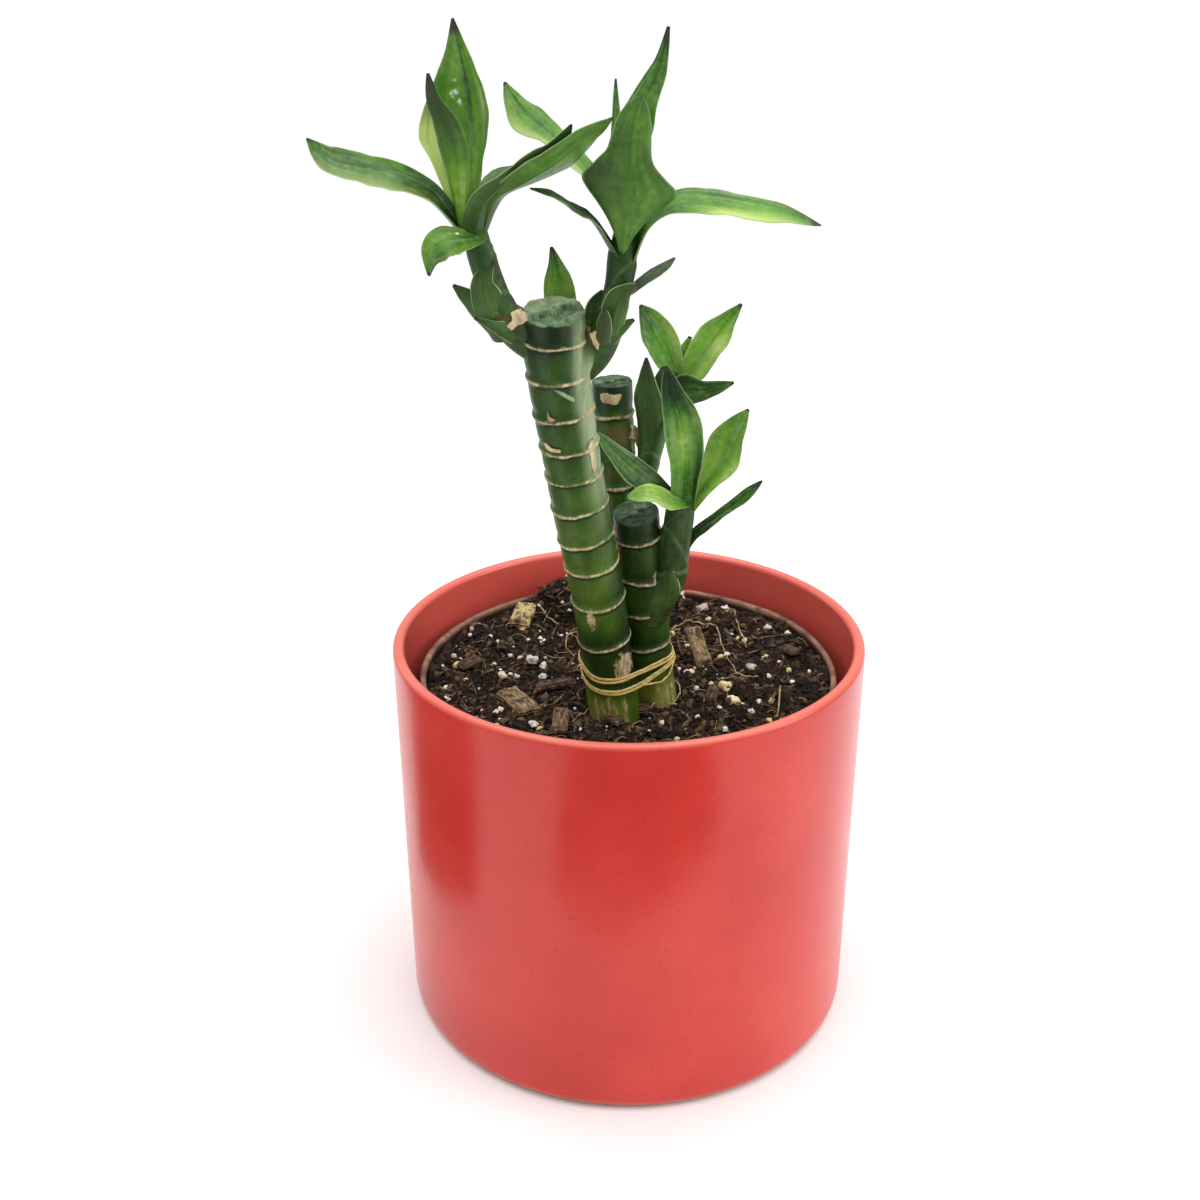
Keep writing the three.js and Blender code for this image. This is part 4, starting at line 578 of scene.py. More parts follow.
def strand_tree():
    # A flat strand along a path, twisting a little and uneven in width
    tree, given = open_tree("strand", Float=["Width", "Thickness", "Twist", "Unevenness", "Seed"], Int=["Sides"])
    path = put(tree, "GeometryNodeMeshToCurve", {0: given["Geometry"]})
    upright = put(tree, "GeometryNodeSetCurveNormal", {0: path}, mode="Z_UP")
    uneven = put(tree, "ShaderNodeTexNoise", {
        "Vector": put(tree, "GeometryNodeInputPosition"), "W": given["Seed"], "Scale": 160.0, "Detail": 1.0},
        noise_dimensions="4D") - 0.5
    twisted = put(tree, "GeometryNodeSetCurveTilt", {"Curve": upright, "Tilt": uneven * given["Twist"]})
    ring = put(tree, "GeometryNodeCurvePrimitiveCircle", {"Resolution": given["Sides"], "Radius": 0.5})
    oval = put(tree, "ShaderNodeCombineXYZ", {0: given["Thickness"], 1: given["Width"], 2: 1.0})
    outline = put(tree, "GeometryNodeTransform", {"Geometry": ring, "Scale": oval})
    return close_tree(tree, given, put(tree, "GeometryNodeCurveToMesh", {
        "Curve": twisted, "Profile Curve": outline, "Scale": uneven.sum("MULTIPLY_ADD", given["Unevenness"], 1.0),
        "Fill Caps": True}))


def scatter_tree():
    # Scatters bits over a surface, each turned and sized at random, with a number to tint it by
    tree, given = open_tree("soil_scatter", Float=["Density", "Smallest", "Largest", "Tilt"], Int=["Seed"],
                            Collection=["Bits"])

    def draw(kind, out, limits):
        return put(tree, "FunctionNodeRandomValue", {**limits, "Seed": given["Seed"]}, out, data_type=kind)
    spots = put(tree, "GeometryNodeDistributePointsOnFaces", {
        "Mesh": given["Geometry"], "Density": given["Density"], "Seed": given["Seed"]}, "Points")
    bits = put(tree, "GeometryNodeCollectionInfo", {
        "Collection": given["Bits"], "Separate Children": True, "Reset Children": True})
    share = draw("FLOAT", 1, {})
    size = put(tree, "ShaderNodeMix", {0: share.sum("POWER", 2.2), 2: given["Smallest"], 3: given["Largest"]})
    turn = draw("FLOAT_VECTOR", 0, {0: (-1.0, -1.0, -3.14), 1: (1.0, 1.0, 3.14)})
    lean = put(tree, "ShaderNodeCombineXYZ", {0: given["Tilt"], 1: given["Tilt"], 2: 1.0})
    leaning = put(tree, "ShaderNodeVectorMath", {0: turn, 1: lean}, operation="MULTIPLY")
    laid = put(tree, "GeometryNodeInstanceOnPoints", {
        "Points": spots, "Instance": bits, "Pick Instance": True, "Instance Index": draw("INT", 2, {4: 0, 5: 99}),
        "Rotation": leaning, "Scale": size})
    return close_tree(tree, given, put(tree, "GeometryNodeStoreNamedAttribute", {
        "Geometry": laid, "Name": "grain", "Value": share}, data_type="FLOAT", domain="INSTANCE"))


TURNING, STRAND, SCATTER = turning_tree(), strand_tree(), scatter_tree()


def strands(name, paths, wide, thick, twist, uneven, sides, seed, finish):
    return grown(name, path_mesh(name + "_paths", paths), STRAND, Width=wide * MM, Thickness=thick * MM,
                 Twist=twist, Unevenness=uneven, Sides=sides, Seed=seed, Finish=finish)


# Finishes
def colour(red, green, blue):
    # A colour given as it shows on a screen, 0 to 255
    def linear(c):
        c /= 255
        return c / 12.92 if c <= 0.04045 else ((c + 0.055) / 1.055) ** 2.4
    return (linear(red), linear(green), linear(blue), 1.0)


class Finish:
    # A material in the making
    def __init__(self, name, roughness, specular=0.5):
        self.made = bpy.data.materials.new(name)
        self.made.use_nodes = True
        self.tree = self.made.node_tree
        self.shader = self.tree.nodes["Principled BSDF"]
        self.shader.inputs["Roughness"].default_value = roughness
        self.shader.inputs["Specular IOR Level"].default_value = specular

    def mark(self, name):
        return put(self.tree, "ShaderNodeAttribute", out="Fac", attribute_name=name)

    def bind(self, x, y, z):
        return put(self.tree, "ShaderNodeCombineXYZ", {0: x, 1: y, 2: z})

    def place(self):
        return put(self.tree, "ShaderNodeTexCoord", out="Object")

    def place_parts(self):
        node = put(self.tree, "ShaderNodeSeparateXYZ", {0: self.place()}).socket.node
        return [Flow(socket) for socket in node.outputs]

    def grain(self, scale, detail=3.0, stretch=(1.0, 1.0, 1.0), rough=0.5, where=None):
        placed = put(self.tree, "ShaderNodeMapping", {"Vector": where or self.place(), "Scale": stretch})
        return put(self.tree, "ShaderNodeTexNoise", {
            "Vector": placed, "Scale": scale, "Detail": detail, "Roughness": rough})

    def mix(self, amount, low, high, way="MIX"):
        high = colour(*high) if isinstance(high, tuple) else high
        parts = {0: amount, 6: low, 7: high}
        return put(self.tree, "ShaderNodeMix", parts, 2, data_type="RGBA", blend_type=way)

    def ramp(self, value, *stops):
        made = put(self.tree, "ShaderNodeValToRGB", {0: value})
        band = made.socket.node.color_ramp
        while len(band.elements) < len(stops):
            band.elements.new(0.5)
        for element, (at, *shade) in zip(band.elements, stops):
            element.position = at
            element.color = colour(*shade)
        return made

    def feed(self, value, socket="Base Color"):
        self.tree.links.new(value.socket, self.shader.inputs[socket])

    def done(self, shade, height=None, depth=0.0, strength=1.0):
        self.feed(shade)
        if height:
            bump = put(self.tree, "ShaderNodeBump", {"Height": height, "Distance": depth, "Strength": strength})
            self.feed(bump, "Normal")
        return self.made


def glazed_red():
    f = Finish("glazed_red", 0.24)
    x, y, height = f.place_parts()
    cloud, fleck = f.grain(26.0, 2.0), f.grain(1500.0, 2.0)
    body = f.ramp(cloud + fleck * 0.25, (0.42, 193, 42, 34), (0.62, 204, 50, 40), (0.8, 211, 60, 48))
    specks = f.grain(900.0, 1.0).spread(0.66, 0.74)
    body = f.mix(specks * 0.35, body, (150, 26, 24))
    # Glaze runs thin over the lip and pools a little above the foot; the lip's paler colour also stands in for the
    # highlight along the rim, a painted highlight
    lip, foot = height.spread(0.1093, 0.1104), height.spread(0.0022, 0.0004)
    body = f.mix(lip * 0.75, body, (230, 126, 106))
    body = f.mix(foot, body, (196, 150, 124))
    # Painted light: the inner wall is painted paler, standing in for the light reflected inside the pot
    across = (x.sum("POWER", 2.0) + y.sum("POWER", 2.0)).sum("SQRT")
    hollow = across.spread(0.0622, 0.0611) * height.spread(0.004, 0.008)
    body = f.mix(hollow * 0.62, body, (236, 110, 98))
    f.feed(cloud.spread(0.3, 0.7, 0.2, 0.28), "Roughness")
    return f.done(body, f.grain(420.0, 1.0) + fleck * 0.35, 0.00012, 0.35)


def liner_brown():
    f = Finish("liner_brown", 0.5)
    scuff = f.grain(90.0, 4.0, (1.0, 1.0, 3.0))
    shade = f.ramp(scuff, (0.35, 118, 78, 60), (0.6, 156, 112, 88), (0.75, 196, 158, 130))
    dirt = f.grain(160.0, 5.0, rough=0.7).spread(0.44, 0.62)
    shade = f.mix(dirt * 0.75, shade, (72, 46, 36))
    below = (f.place_parts()[2] + scuff * 0.0012).spread(0.1002, 0.0992)
    return f.done(f.mix(below, shade, (62, 36, 36)), f.grain(500.0), 0.0002, 0.5)


def soil_dark():
    f = Finish("soil_dark", 0.92, 0.25)
    clods = f.grain(260.0, 5.0, rough=0.65)
    shade = f.ramp(clods, (0.36, 12, 7, 5), (0.52, 34, 21, 14), (0.64, 72, 50, 34), (0.76, 120, 94, 70))
    damp = f.grain(60.0, 2.0).spread(0.4, 0.65, 0.0, 0.6)
    return f.done(f.mix(damp, shade, (16, 10, 7)), f.grain(900.0, 4.0, rough=0.7), 0.0006, 0.8)


def soil_crumb():
    f = Finish("soil_crumb", 0.9, 0.25)
    body = f.ramp(f.mark("grain"), (0.0, 8, 5, 3), (0.45, 18, 11, 7), (0.72, 38, 24, 15), (0.9, 72, 50, 32),
                  (1.0, 130, 102, 74))
    mottle = f.grain(2200.0, 4.0, rough=0.65)
    body = f.mix(mottle.spread(0.42, 0.62, 0.0, 0.7), body, (14, 9, 6))
    # Damp hollows are darker, and dry ones a little greyer
    damp = f.grain(110.0, 2.0)
    body = f.mix(damp.spread(0.5, 0.64, 0.0, 0.65), body, (12, 8, 6))
    body = f.mix(damp.spread(0.44, 0.34, 0.0, 0.3), body, (92, 78, 64))
    return f.done(body, f.grain(3500.0), 0.0002, 0.7)


def perlite_white():
    f = Finish("perlite_white", 0.75, 0.3)
    body = f.ramp(f.mark("grain"), (0.0, 170, 160, 144), (0.3, 216, 210, 196), (0.75, 248, 244, 234),
                  (0.9, 228, 212, 166), (1.0, 222, 196, 128))
    stain = f.grain(1400.0).spread(0.5, 0.7)
    return f.done(f.mix(stain * 0.5, body, (120, 104, 86)), f.grain(4000.0), 0.00015, 0.8)


def bark_brown():
    f = Finish("bark_brown", 0.85, 0.3)
    which = f.mark("grain")
    lengthways = f.bind(f.mark("lengthways"), f.mark("crossways"), which)
    along = f.grain(1.0, 4.0, (260.0, 1300.0, 1300.0), 0.65, lengthways)
    shade = f.ramp(along, (0.3, 58, 38, 28), (0.45, 104, 78, 60), (0.6, 150, 120, 96), (0.75, 196, 168, 138))
    shade = f.mix(f.mark("pale") * along.spread(0.3, 0.6, 0.5, 1.0), shade, (208, 184, 128))
    pits = f.grain(520.0, rough=0.6).spread(0.5, 0.6)
    shade = f.mix(pits * 0.75, shade, (40, 28, 20))
    return f.done(f.mix(which * 0.75, shade, (44, 34, 28), "MULTIPLY"), along, 0.0004, 0.9)


def straw_yellow():
    f = Finish("straw_yellow", 0.6, 0.35)
    fibre = f.grain(700.0, 4.0, (1.0, 1.0, 6.0), 0.6)
    return f.done(f.ramp(fibre, (0.3, 150, 124, 58), (0.5, 208, 184, 106), (0.7, 236, 218, 152)), fibre, 0.0002, 0.8)


def root_pale():
    f = Finish("root_pale", 0.7, 0.3)
    return f.done(f.ramp(f.grain(300.0), (0.35, 120, 94, 62), (0.55, 176, 150, 110), (0.7, 212, 192, 150)))


def husk_tan():
    f = Finish("husk_tan", 0.7, 0.3)
    fibre = f.grain(500.0, 4.0, (1.0, 1.0, 0.3))
    return f.done(f.ramp(fibre, (0.3, 150, 124, 88), (0.5, 206, 184, 140), (0.7, 236, 224, 192)),
                  f.grain(1500.0, 3.0, (1.0, 1.0, 0.3)), 0.0002, 0.6)


def cane_green():
    f = Finish("cane_green", 0.44, 0.32)
    scarred, cut = f.mark("scar"), f.mark("cut")
    streak = f.grain(1.0, 4.0, (900.0, 900.0, 45.0), 0.6)
    blotch = f.grain(150.0, 3.0, (1.0, 1.0, 0.6))
    speckle = f.grain(2600.0, 2.0)
    level = f.mark("age") + (streak - 0.5) * 0.22 + (blotch - 0.5) * 0.6 + (speckle - 0.5) * 0.25
    body = f.ramp(level, (0.0, 10, 24, 8), (0.3, 28, 56, 12), (0.52, 50, 84, 18), (0.72, 82, 108, 28),
                  (0.88, 124, 136, 52), (1.0, 164, 162, 84))
    # Painted sheen: pale grey-green streaked over the lit side of the canes and over the collars
    bloom = f.mark("bloom") * streak.spread(0.3, 0.6, 0.55, 1.0)
    body = f.mix(bloom * 0.9, body, (156, 172, 130))
    brown = f.mark("stain") * blotch.spread(0.3, 0.65)
    body = f.mix(brown * 0.8, body, (110, 78, 48))
    fibre = f.grain(900.0, 4.0, (1.0, 1.0, 0.35), 0.65)
    tan = f.ramp(fibre, (0.3, 120, 102, 68), (0.5, 184, 168, 126), (0.68, 222, 210, 172))
    body = f.mix(scarred.sum("MULTIPLY", fibre.spread(0.2, 0.5, 0.75, 1.1), held=True), body, tan)
    core = f.grain(500.0, 4.0, rough=0.65)
    top = f.ramp(core + f.mark("pith"), (0.25, 24, 42, 26), (0.5, 64, 90, 60), (0.7, 108, 134, 96),
                 (0.95, 152, 164, 122))
    rough = scarred.spread(0.0, 1.0, 0.4, 0.8)
    f.feed(rough.sum("MAXIMUM", cut * 0.7), "Roughness")
    return f.done(f.mix(cut, body, top), streak * 0.5 + fibre * scarred, 0.00022, 0.6)


def leaf_finish(name, roughness, stops, dry, rim, rim_from, sheen_share):
    # Greens that run along the blade, with fine lengthways veins, pale margins and a dry tip
    f = Finish(name, roughness, 0.32)
    along, across, which, under, withered = (f.mark(mark) for mark in ("along", "across", "which", "under", "dry"))

    def streaks(wide, long, number, detail):
        at = f.bind(across * wide, along * long, number)
        return put(f.tree, "ShaderNodeTexNoise", {"Vector": at, "Scale": 1.0, "Detail": detail})
    broad, fine = streaks(2.6, 1.1, which, 2.0), streaks(30.0, 2.2, which, 3.0)
    mottle, cloud = f.grain(700.0), f.grain(85.0, 2.0)
    level = f.mark("tone") + (broad - 0.5) * 0.5 + (cloud - 0.5) * 0.8 + (fine - 0.5) * 0.1 + (mottle - 0.5) * 0.34
    rib = (across - 0.04).sum("ABSOLUTE").spread(0.16, 0.0) * f.mark("midrib")
    level = level - rib * 0.4
    body = f.ramp(level, *stops)
    body = f.mix(under * 0.4, body, f.mix(0.5, body, (100, 124, 62)))
    # Painted sheen: a thin grey highlight in long uneven streaks, fainter on the under side and on dark greens
    sheen = streaks(3.4, 3.0, which + 9.0, 2.0) + (mottle - 0.5) * 0.35
    sheen = sheen.spread(0.46, 0.76, 0.0, sheen_share) * under.spread(0.0, 1.0, 1.0, 0.2)
    body = f.mix(sheen * level.spread(0.15, 0.5, 0.35, 1.0), body, (142, 162, 116))
    body = f.mix(f.mark("band") * fine.spread(0.25, 0.6, 0.45, 1.0), body, (206, 220, 128))
    edge = across.sum("ABSOLUTE").spread(rim_from, rim_from + 0.07) * f.mark("margin")
    body = f.mix(edge * along.spread(0.02, 0.2), body, rim)
    tip = withered + (fine - 0.5) * 0.5
    body = f.mix(tip.spread(0.25, 0.75) * withered.spread(0.0, 0.2), body, dry)
    # Painted glints: small near-white highlights
    glint = f.mark("glint") * mottle.spread(0.4, 0.55, 0.5, 1.0)
    body = f.mix(glint.spread(0.25, 0.6), body, (222, 236, 208))
    f.feed(mottle.spread(0.3, 0.7, roughness - 0.06, roughness + 0.1), "Roughness")
    vein = (across * 52.0).sum("SINE")
    return f.done(body, vein * 0.12 + fine * 0.5 + mottle * 0.5, 0.0001, 0.55)


RED, BROWN, EARTH, CRUMB, PERLITE = glazed_red(), liner_brown(), soil_dark(), soil_crumb(), perlite_white()
BARK, STRAW, ROOT, HUSK, CANE = bark_brown(), straw_yellow(), root_pale(), husk_tan(), cane_green()
LEAF = leaf_finish("leaf_green", 0.36, [
    (0.0, 16, 40, 10), (0.2, 30, 66, 14), (0.42, 54, 102, 20), (0.62, 82, 138, 26), (0.82, 116, 164, 46),
    (1.0, 166, 196, 106)], dry=(54, 56, 42), rim=(166, 192, 134), rim_from=0.93, sheen_share=0.5)
SHEATH = leaf_finish("shoot_green", 0.44, [
    (0.0, 12, 28, 8), (0.25, 28, 56, 14), (0.5, 48, 86, 22), (0.75, 82, 118, 44), (1.0, 150, 168, 104)],
    dry=(58, 46, 44), rim=(158, 180, 128), rim_from=0.88, sheen_share=0.2)


# Pot and liner, turned from their outlines
def arc(centre, radius, start, end, steps):
    turns = np.radians(np.linspace(start, end, steps))
    return [(centre[0] + radius * math.cos(a), centre[1] + radius * math.sin(a)) for a in turns]


def turned(name, profile, sides, finish, stands_for):
    wheel = profile[len(profile) // 2][0]
    outline = path_mesh(name + "_outline", [[(r - wheel, -z, 0) for r, z in profile]])
    mesh = grown(name, outline, TURNING, Radius=wheel * MM, Sides=sides, Finish=finish)
    form = bmesh.new()
    form.from_mesh(mesh)
    bmesh.ops.remove_doubles(form, verts=form.verts, dist=1e-6)
    if form.calc_volume(signed=True) < 0:
        bmesh.ops.reverse_faces(form, faces=form.faces)
    form.to_mesh(mesh)
    form.free()
    return settle(name, mesh, stands_for)


def make_pot():
    radius, top, foot, fillet = (POT[key] for key in ("radius", "height", "foot", "fillet"))
    base, inner, lip = radius - POT["taper"], radius - POT["wall"], POT["wall"] / 2
    low = POT["floor"] + fillet
    profile = [(r, 0.0) for r in (0.0, 20.0, 40.0, base - foot - 2)] + arc((base - foot, foot), foot, -90, 0, 9)
    profile += [(base + (radius - base) * k / 24, foot + (top - lip - foot) * k / 24) for k in range(1, 24)]
    profile += arc((radius - lip, top - lip), lip, 0, 180, 17)
    profile += [(inner - POT["taper"] * k / 12, top - lip - (top - lip - low) * k / 12) for k in range(1, 12)]
    profile += arc((inner - POT["taper"] - fillet, low), fillet, 0, -90, 7)
    profile += [(30.0, POT["floor"]), (0.0, POT["floor"])]
    turned("glazed_pot", profile, POT["sides"], RED, ["pot"])


# How the liner's thin rim is bent and worn, in metres: between which heights, and how far down, off and in
RIM_BEND = dict(low=0.092, high=0.1, down=0.0004, off=0.00025, inward=0.004)


def make_liner():
    r, w, top, low, base = (LINER[key] for key in ("radius", "wall", "top", "low", "base"))
    slope = r - RIM_OUTSIDE[0][0] - base
    profile = [(0.0, low), (25.0, low), (base, low)]
    profile += [(base + slope * k / 12, low + (top - 4 - low) * k / 12) for k in range(1, 13)]
    profile += [(r - back, top - down) for back, down in RIM_OUTSIDE]
    profile += [(r - w - back, top - down) for back, down in RIM_INSIDE]
    profile += [(base - w + slope * k / 8, low + w + (top - 4 - low - w) * k / 8) for k in range(7, 0, -1)]
    profile += [(base - w, low + w), (25.0, low + w), (0.0, low + w)]
    mesh = turned("grow_pot", profile, LINER["sides"], BROWN, ["liner"]).data
    points = np.array([v.co[:] for v in mesh.vertices])
    angle = np.arctan2(points[:, 1], points[:, 0])
    bend = lumps(np.cos(angle) * 1.6, np.sin(angle) * 1.6, 4.0)
    worn = lumps(np.cos(angle) * 14, np.sin(angle) * 14, 9.0)
    low, high, down, off, inward = RIM_BEND.values()
    near = ease(low, high, points[:, 2])
    points[:, 2] -= near * (down + down * bend + off * np.abs(worn))
    points[:, :2] *= (1 - near * (inward + inward * bend))[:, None]
    mesh.vertices.foreach_set("co", points.astype(np.float32).ravel())
    mesh.update()


make_pot()
make_liner()


# Soil
def soil_height(x, y):
    # Clods in staggered rows that wander a little, on a bed that rises towards the wall
    turn = 2 * math.pi / (SOIL["clod_spacing"] * math.sqrt(2))
    along = np.sin(x * turn + 1.2 + 0.9 * np.sin(y * 0.11))
    across = np.cos(y * turn - 0.6 + 0.9 * np.sin(x * 0.13))
    rise = SOIL["edge_rise"] * np.maximum(0, (np.hypot(x, y) - SOIL["level_to"]) / SOIL["rise_over"])
    away = np.hypot((x - MOUND["at"][0]) / MOUND["reach"][0], (y - MOUND["at"][1]) / MOUND["reach"][1])
    heap = MOUND["height"] * ease(0, 0.55, 1 - away)
    return SOIL["top"] + rise + heap + SOIL["clod_height"] / 2 * along * across


# Its roughness, from clods to crumbs: fineness, seed and height
SOIL_LUMPS = [(0.16, 2.0, 0.9), (0.42, 7.0, 0.75), (1.1, 5.0, 0.42), (2.6, 1.0, 0.2)]


def soil_surface(x, y):
    clods = sum(lumps(x * fine, y * fine, seed) * tall for fine, seed, tall in SOIL_LUMPS)
    return soil_height(x, y) + clods - 0.2


def make_soil():
    rings, around = 88, 264
    _, c, s = circle(around)
    radii = SOIL["edge"] * np.linspace(1 / rings, 1, rings)[:, None]
    x, y = radii * c, radii * s
    z = soil_surface(x, y)
    z[-1] -= 0.6
    points = [[[0.0, 0.0, float(soil_surface(0.0, 0.0))]], np.stack([x, y, z], -1).reshape(-1, 3)]
    for r, low in ((SOIL["edge"], SOIL["edge_low"]), (SOIL["base"], SOIL["low"]), (SOIL["base"] * 0.5, SOIL["low"])):
        points.append(np.stack([r * c[0], r * s[0], np.full(around, low)], -1))
    points.append([[0.0, 0.0, SOIL["low"]]])
    rows = rings + 3
    end = 1 + (rows - 1) * around
    after = [(k + 1) % around for k in range(around)]
    faces = [(0, 1 + k, 1 + after[k]) for k in range(around)]
    faces += [tuple(reversed(f)) for f in grid_faces(rows, around, True, 1)]
    faces += [(end + around, end + after[k], end + k) for k in range(around)]
    piece("potting_soil", [(np.concatenate(points), faces, {})], EARTH, ["soil"])


# Length, width and height of the bits in the soil, before each is sized at random
BITS = {"crumb": (1.3, 0.85, 0.7), "shred": (3.4, 0.5, 0.3), "grain": (1.05, 0.95, 0.85), "splinter": (2.6, 0.75, 0.36)}


def bit_collection(name, kind, count, seed):
    # Crumbs, grains or splinters about a millimetre across, with few faces
    held = bpy.data.collections.new(name)
    coarse = kind in ("crumb", "shred")
    for k in range(count):
        form = bmesh.new()
        bmesh.ops.create_icosphere(form, subdivisions=1 if coarse else 2, radius=0.5 * MM)
        shift = seed + k * 7.7
        for v in form.verts:
            p = v.co / MM
            push = 1 + (1.5 if coarse else 0.55) * noise.noise(p * 1.7 + Vector((shift * 3.1, 0, 0)))
            v.co = p * Vector(BITS[kind]) * (push + 0.3 * noise.noise(p * 4 + Vector((0, shift, 0)))) * MM
        mesh = bpy.data.meshes.new(name)
        form.to_mesh(mesh)
        form.free()
        held.objects.link(bpy.data.objects.new(f"{name}_{k}", mesh))
    return held


# How high up the canes they leave the soil
SOIL_LINE = 98.5


def feet():
    # Where the canes stand in the soil, and how thick they are there
    for spec in CANES.values():
        t = place_at_height(spec["axis"], SOIL_LINE)
        p = run(spec["axis"], t)
        yield float(p[0]), float(p[1]), float(run(spec["radius"], t)) - 0.4


FEET = list(feet())


def under_cane(x, y, spare=0.0):
    return any(math.hypot(x - a, y - b) < r + spare for a, b, r in FEET)


def top_patch(name, reach):
    # The soil's top as a sheet for scattering, without what lies under the canes
    step = 1.2
    side = int(reach / step)
    index = {}
    for i in range(-side, side + 1):
        for j in range(-side, side + 1):
            if math.hypot(i * step, j * step) <= reach and not under_cane(i * step, j * step):
                index[i, j] = len(index)
    spots = np.array([(i * step, j * step) for i, j in index])
    z = soil_surface(spots[:, 0], spots[:, 1])
    faces = []
    for (i, j), a in index.items():
        corners = [index.get(near) for near in ((i + 1, j), (i + 1, j + 1), (i, j + 1))]
        if None not in corners:
            faces.append((a, *corners))
    mesh = bpy.data.meshes.new(name)
    mesh.from_pydata((np.column_stack([spots, z]) * MM).tolist(), [], faces)
    return mesh


def scatter(name, kind, shapes, density, small, large, seed, tilt, finish, slot):
    bits = bit_collection(name + "_bits", kind, shapes, seed)
    mesh = grown(name, PATCH.copy(), SCATTER, Bits=bits, Density=density, Smallest=small, Largest=large,
                 Seed=seed, Tilt=tilt, Finish=finish)
    for held in list(bits.objects):
        bpy.data.objects.remove(held)
    bpy.data.collections.remove(bits)
    if kind == "splinter":
        points = np.array([v.co[:] for v in mesh.vertices])
        hold_mark(mesh, "lengthways", points[:, 0])
        hold_mark(mesh, "crossways", points[:, 1])
    settle(name, mesh, flat=kind in ("crumb", "shred"))


make_soil()
PATCH = top_patch("soil_top", SOIL["edge"] - 0.8)
# What is scattered: kind, number of shapes, bits per square metre, smallest and largest size, seed and tilt
SCATTERED = {
    "soil_crumbs": ("crumb", 9, 900000, 0.4, 2.2, 5, 1.0, CRUMB, "soil"),
    "soil_shreds": ("shred", 7, 150000, 0.5, 2.3, 53, 0.5, CRUMB, "soil"),
    "perlite_grains": ("grain", 5, 34000, 0.3, 2.3, 17, 1.0, PERLITE, "soil"),
    "bark_splinters": ("splinter", 5, 10000, 0.7, 2.6, 31, 0.3, BARK, "bark"),
}
for name, setting in SCATTERED.items():
    scatter(name, *setting)


# Levels to look for the soil at, from above, and depths to look for the canes at, from the front
SOIL_LEVELS, CANE_DEPTHS = np.arange(112, 94, -0.25), np.arange(-62, 4, 0.25)


def on_soil(u, v):
    # Where the camera's ray through a place in the picture meets the soil
    start, ray = scene.camera.matrix_world.translation, sight(u, v)
    for level in SOIL_LEVELS:
        at = (start + ray * ((level * MM - start.z) / ray.z)) / MM
        if level <= float(soil_surface(at.x, at.y)):
            break
    return at * min(1, (SOIL["edge"] - 2.7) / math.hypot(at.x, at.y))


# How high a grain sits above the soil and how tall it is, for its width
GRAIN_UP, GRAIN_TALL = 0.28, 0.85


def make_named_grains():
    draw = random.Random(41)
    shapes = []
    for u, v, size, tint in GRAINS:
        at = on_soil(u, v)
        z = float(soil_surface(at.x, at.y)) + size * GRAIN_UP
        form = bmesh.new()
        bmesh.ops.create_icosphere(form, subdivisions=3, radius=0.5)
        shift = Vector((draw.uniform(0, 40), draw.uniform(0, 40), 0))
        points = []
        for p in (vert.co for vert in form.verts):
            push = 1 + 0.7 * noise.noise(p * 2.2 + shift) + 0.35 * noise.noise(p * 5 + shift)
            points.append((at.x + p.x * size * push, at.y + p.y * size * push,
                           z + p.z * size * push * GRAIN_TALL))
        shapes.append((points, [tuple(x.index for x in face.verts) for face in form.faces], {"grain": tint}))
        form.free()
    piece("perlite_pebbles", shapes, PERLITE)


make_named_grains()


# Bark chips: flakes of split bark, ragged at the ends and layered on top
def flake(spec, seed, tint, at, pale=0.0):
    length, width, height = spec["size"]
    nu, nv = 44, 22
    u, v = np.linspace(-1, 1, nu)[:, None], np.linspace(-1, 1, nv)[None, :]
    ragged = 1 - 0.14 * np.abs(lumps(v * 3.0 + seed, 2.0, 0.0)) - 0.05 * np.abs(lumps(v * 9.0, seed, 0.0))
    waist = 0.92 + 0.12 * lumps(u * 1.6, seed * 1.3, 3.0)
    x, y = u * ragged * length / 2, v * waist * width / 2
    strips = lumps(u * 0.8 + seed, v * 5.0, 1.0) * 0.5 + lumps(u * 2.0, v * 14.0, seed) * 0.22
    layers = np.round(strips * 5) / 5 * 0.6 + strips * 0.4
    edge = ease(1.0, 0.82, np.abs(u)) * ease(1.0, 0.8, np.abs(v))
    z = height * (0.35 + 0.5 * edge + 0.32 * layers * (0.3 + 0.7 * edge))
    points = np.concatenate([np.stack(form, -1).reshape(-1, 3)
                             for form in ([x, y, z], [x * 0.98, y * 0.96, 0 * z])])
    count = nu * nv
    grid = grid_faces(nu, nv, False)
    faces = [tuple(reversed(f)) for f in grid] + [tuple(i + count for i in f) for f in grid]
    rim = [i * nv for i in range(nu)] + [(nu - 1) * nv + j for j in range(1, nv)]
    rim += [i * nv + nv - 1 for i in range(nu - 2, -1, -1)] + list(range(nv - 2, 0, -1))
    faces += [(a, b, b + count, a + count) for a, b in zip(rim, rim[1:] + rim[:1])]
    turn, lean = math.radians(spec["turn"]), math.radians(spec["lean"])
    px = points[:, 0] * math.cos(lean) - points[:, 2] * math.sin(lean)
    pz = points[:, 0] * math.sin(lean) + points[:, 2] * math.cos(lean)
    gx = px * math.cos(turn) - points[:, 1] * math.sin(turn) + at[0]
    gy = px * math.sin(turn) + points[:, 1] * math.cos(turn) + at[1]
    ground = float(np.max((soil_height(gx, gy) - pz)[count:])) + 0.3
    marks = {"lengthways": points[:, 0] * MM, "crossways": points[:, 1] * MM, "grain": tint, "pale": pale}
    return np.column_stack([gx, gy, pz + ground]), faces, marks


for number, (name, spec) in enumerate(CHIPS.items()):
    chip = flake(spec, 3.7 * number + 1, spec["tint"], spec["at"], spec["pale"])
    piece("bark_flake_" + name, [chip], BARK, ["bark_chip_" + name])
piece("loose_bark", [flake(spec, 11 + 2.9 * k, 0.55 + 0.07 * k, on_soil(*spec["seen"]))
                     for k, spec in enumerate(LOOSE_BARK)], BARK)


# Roots and fibres that lie on the soil: how many fibres, how far out they lie, and a step along one
FIBRES, FIBRE_REACH, FIBRE_STEP = 110, 54, 0.75


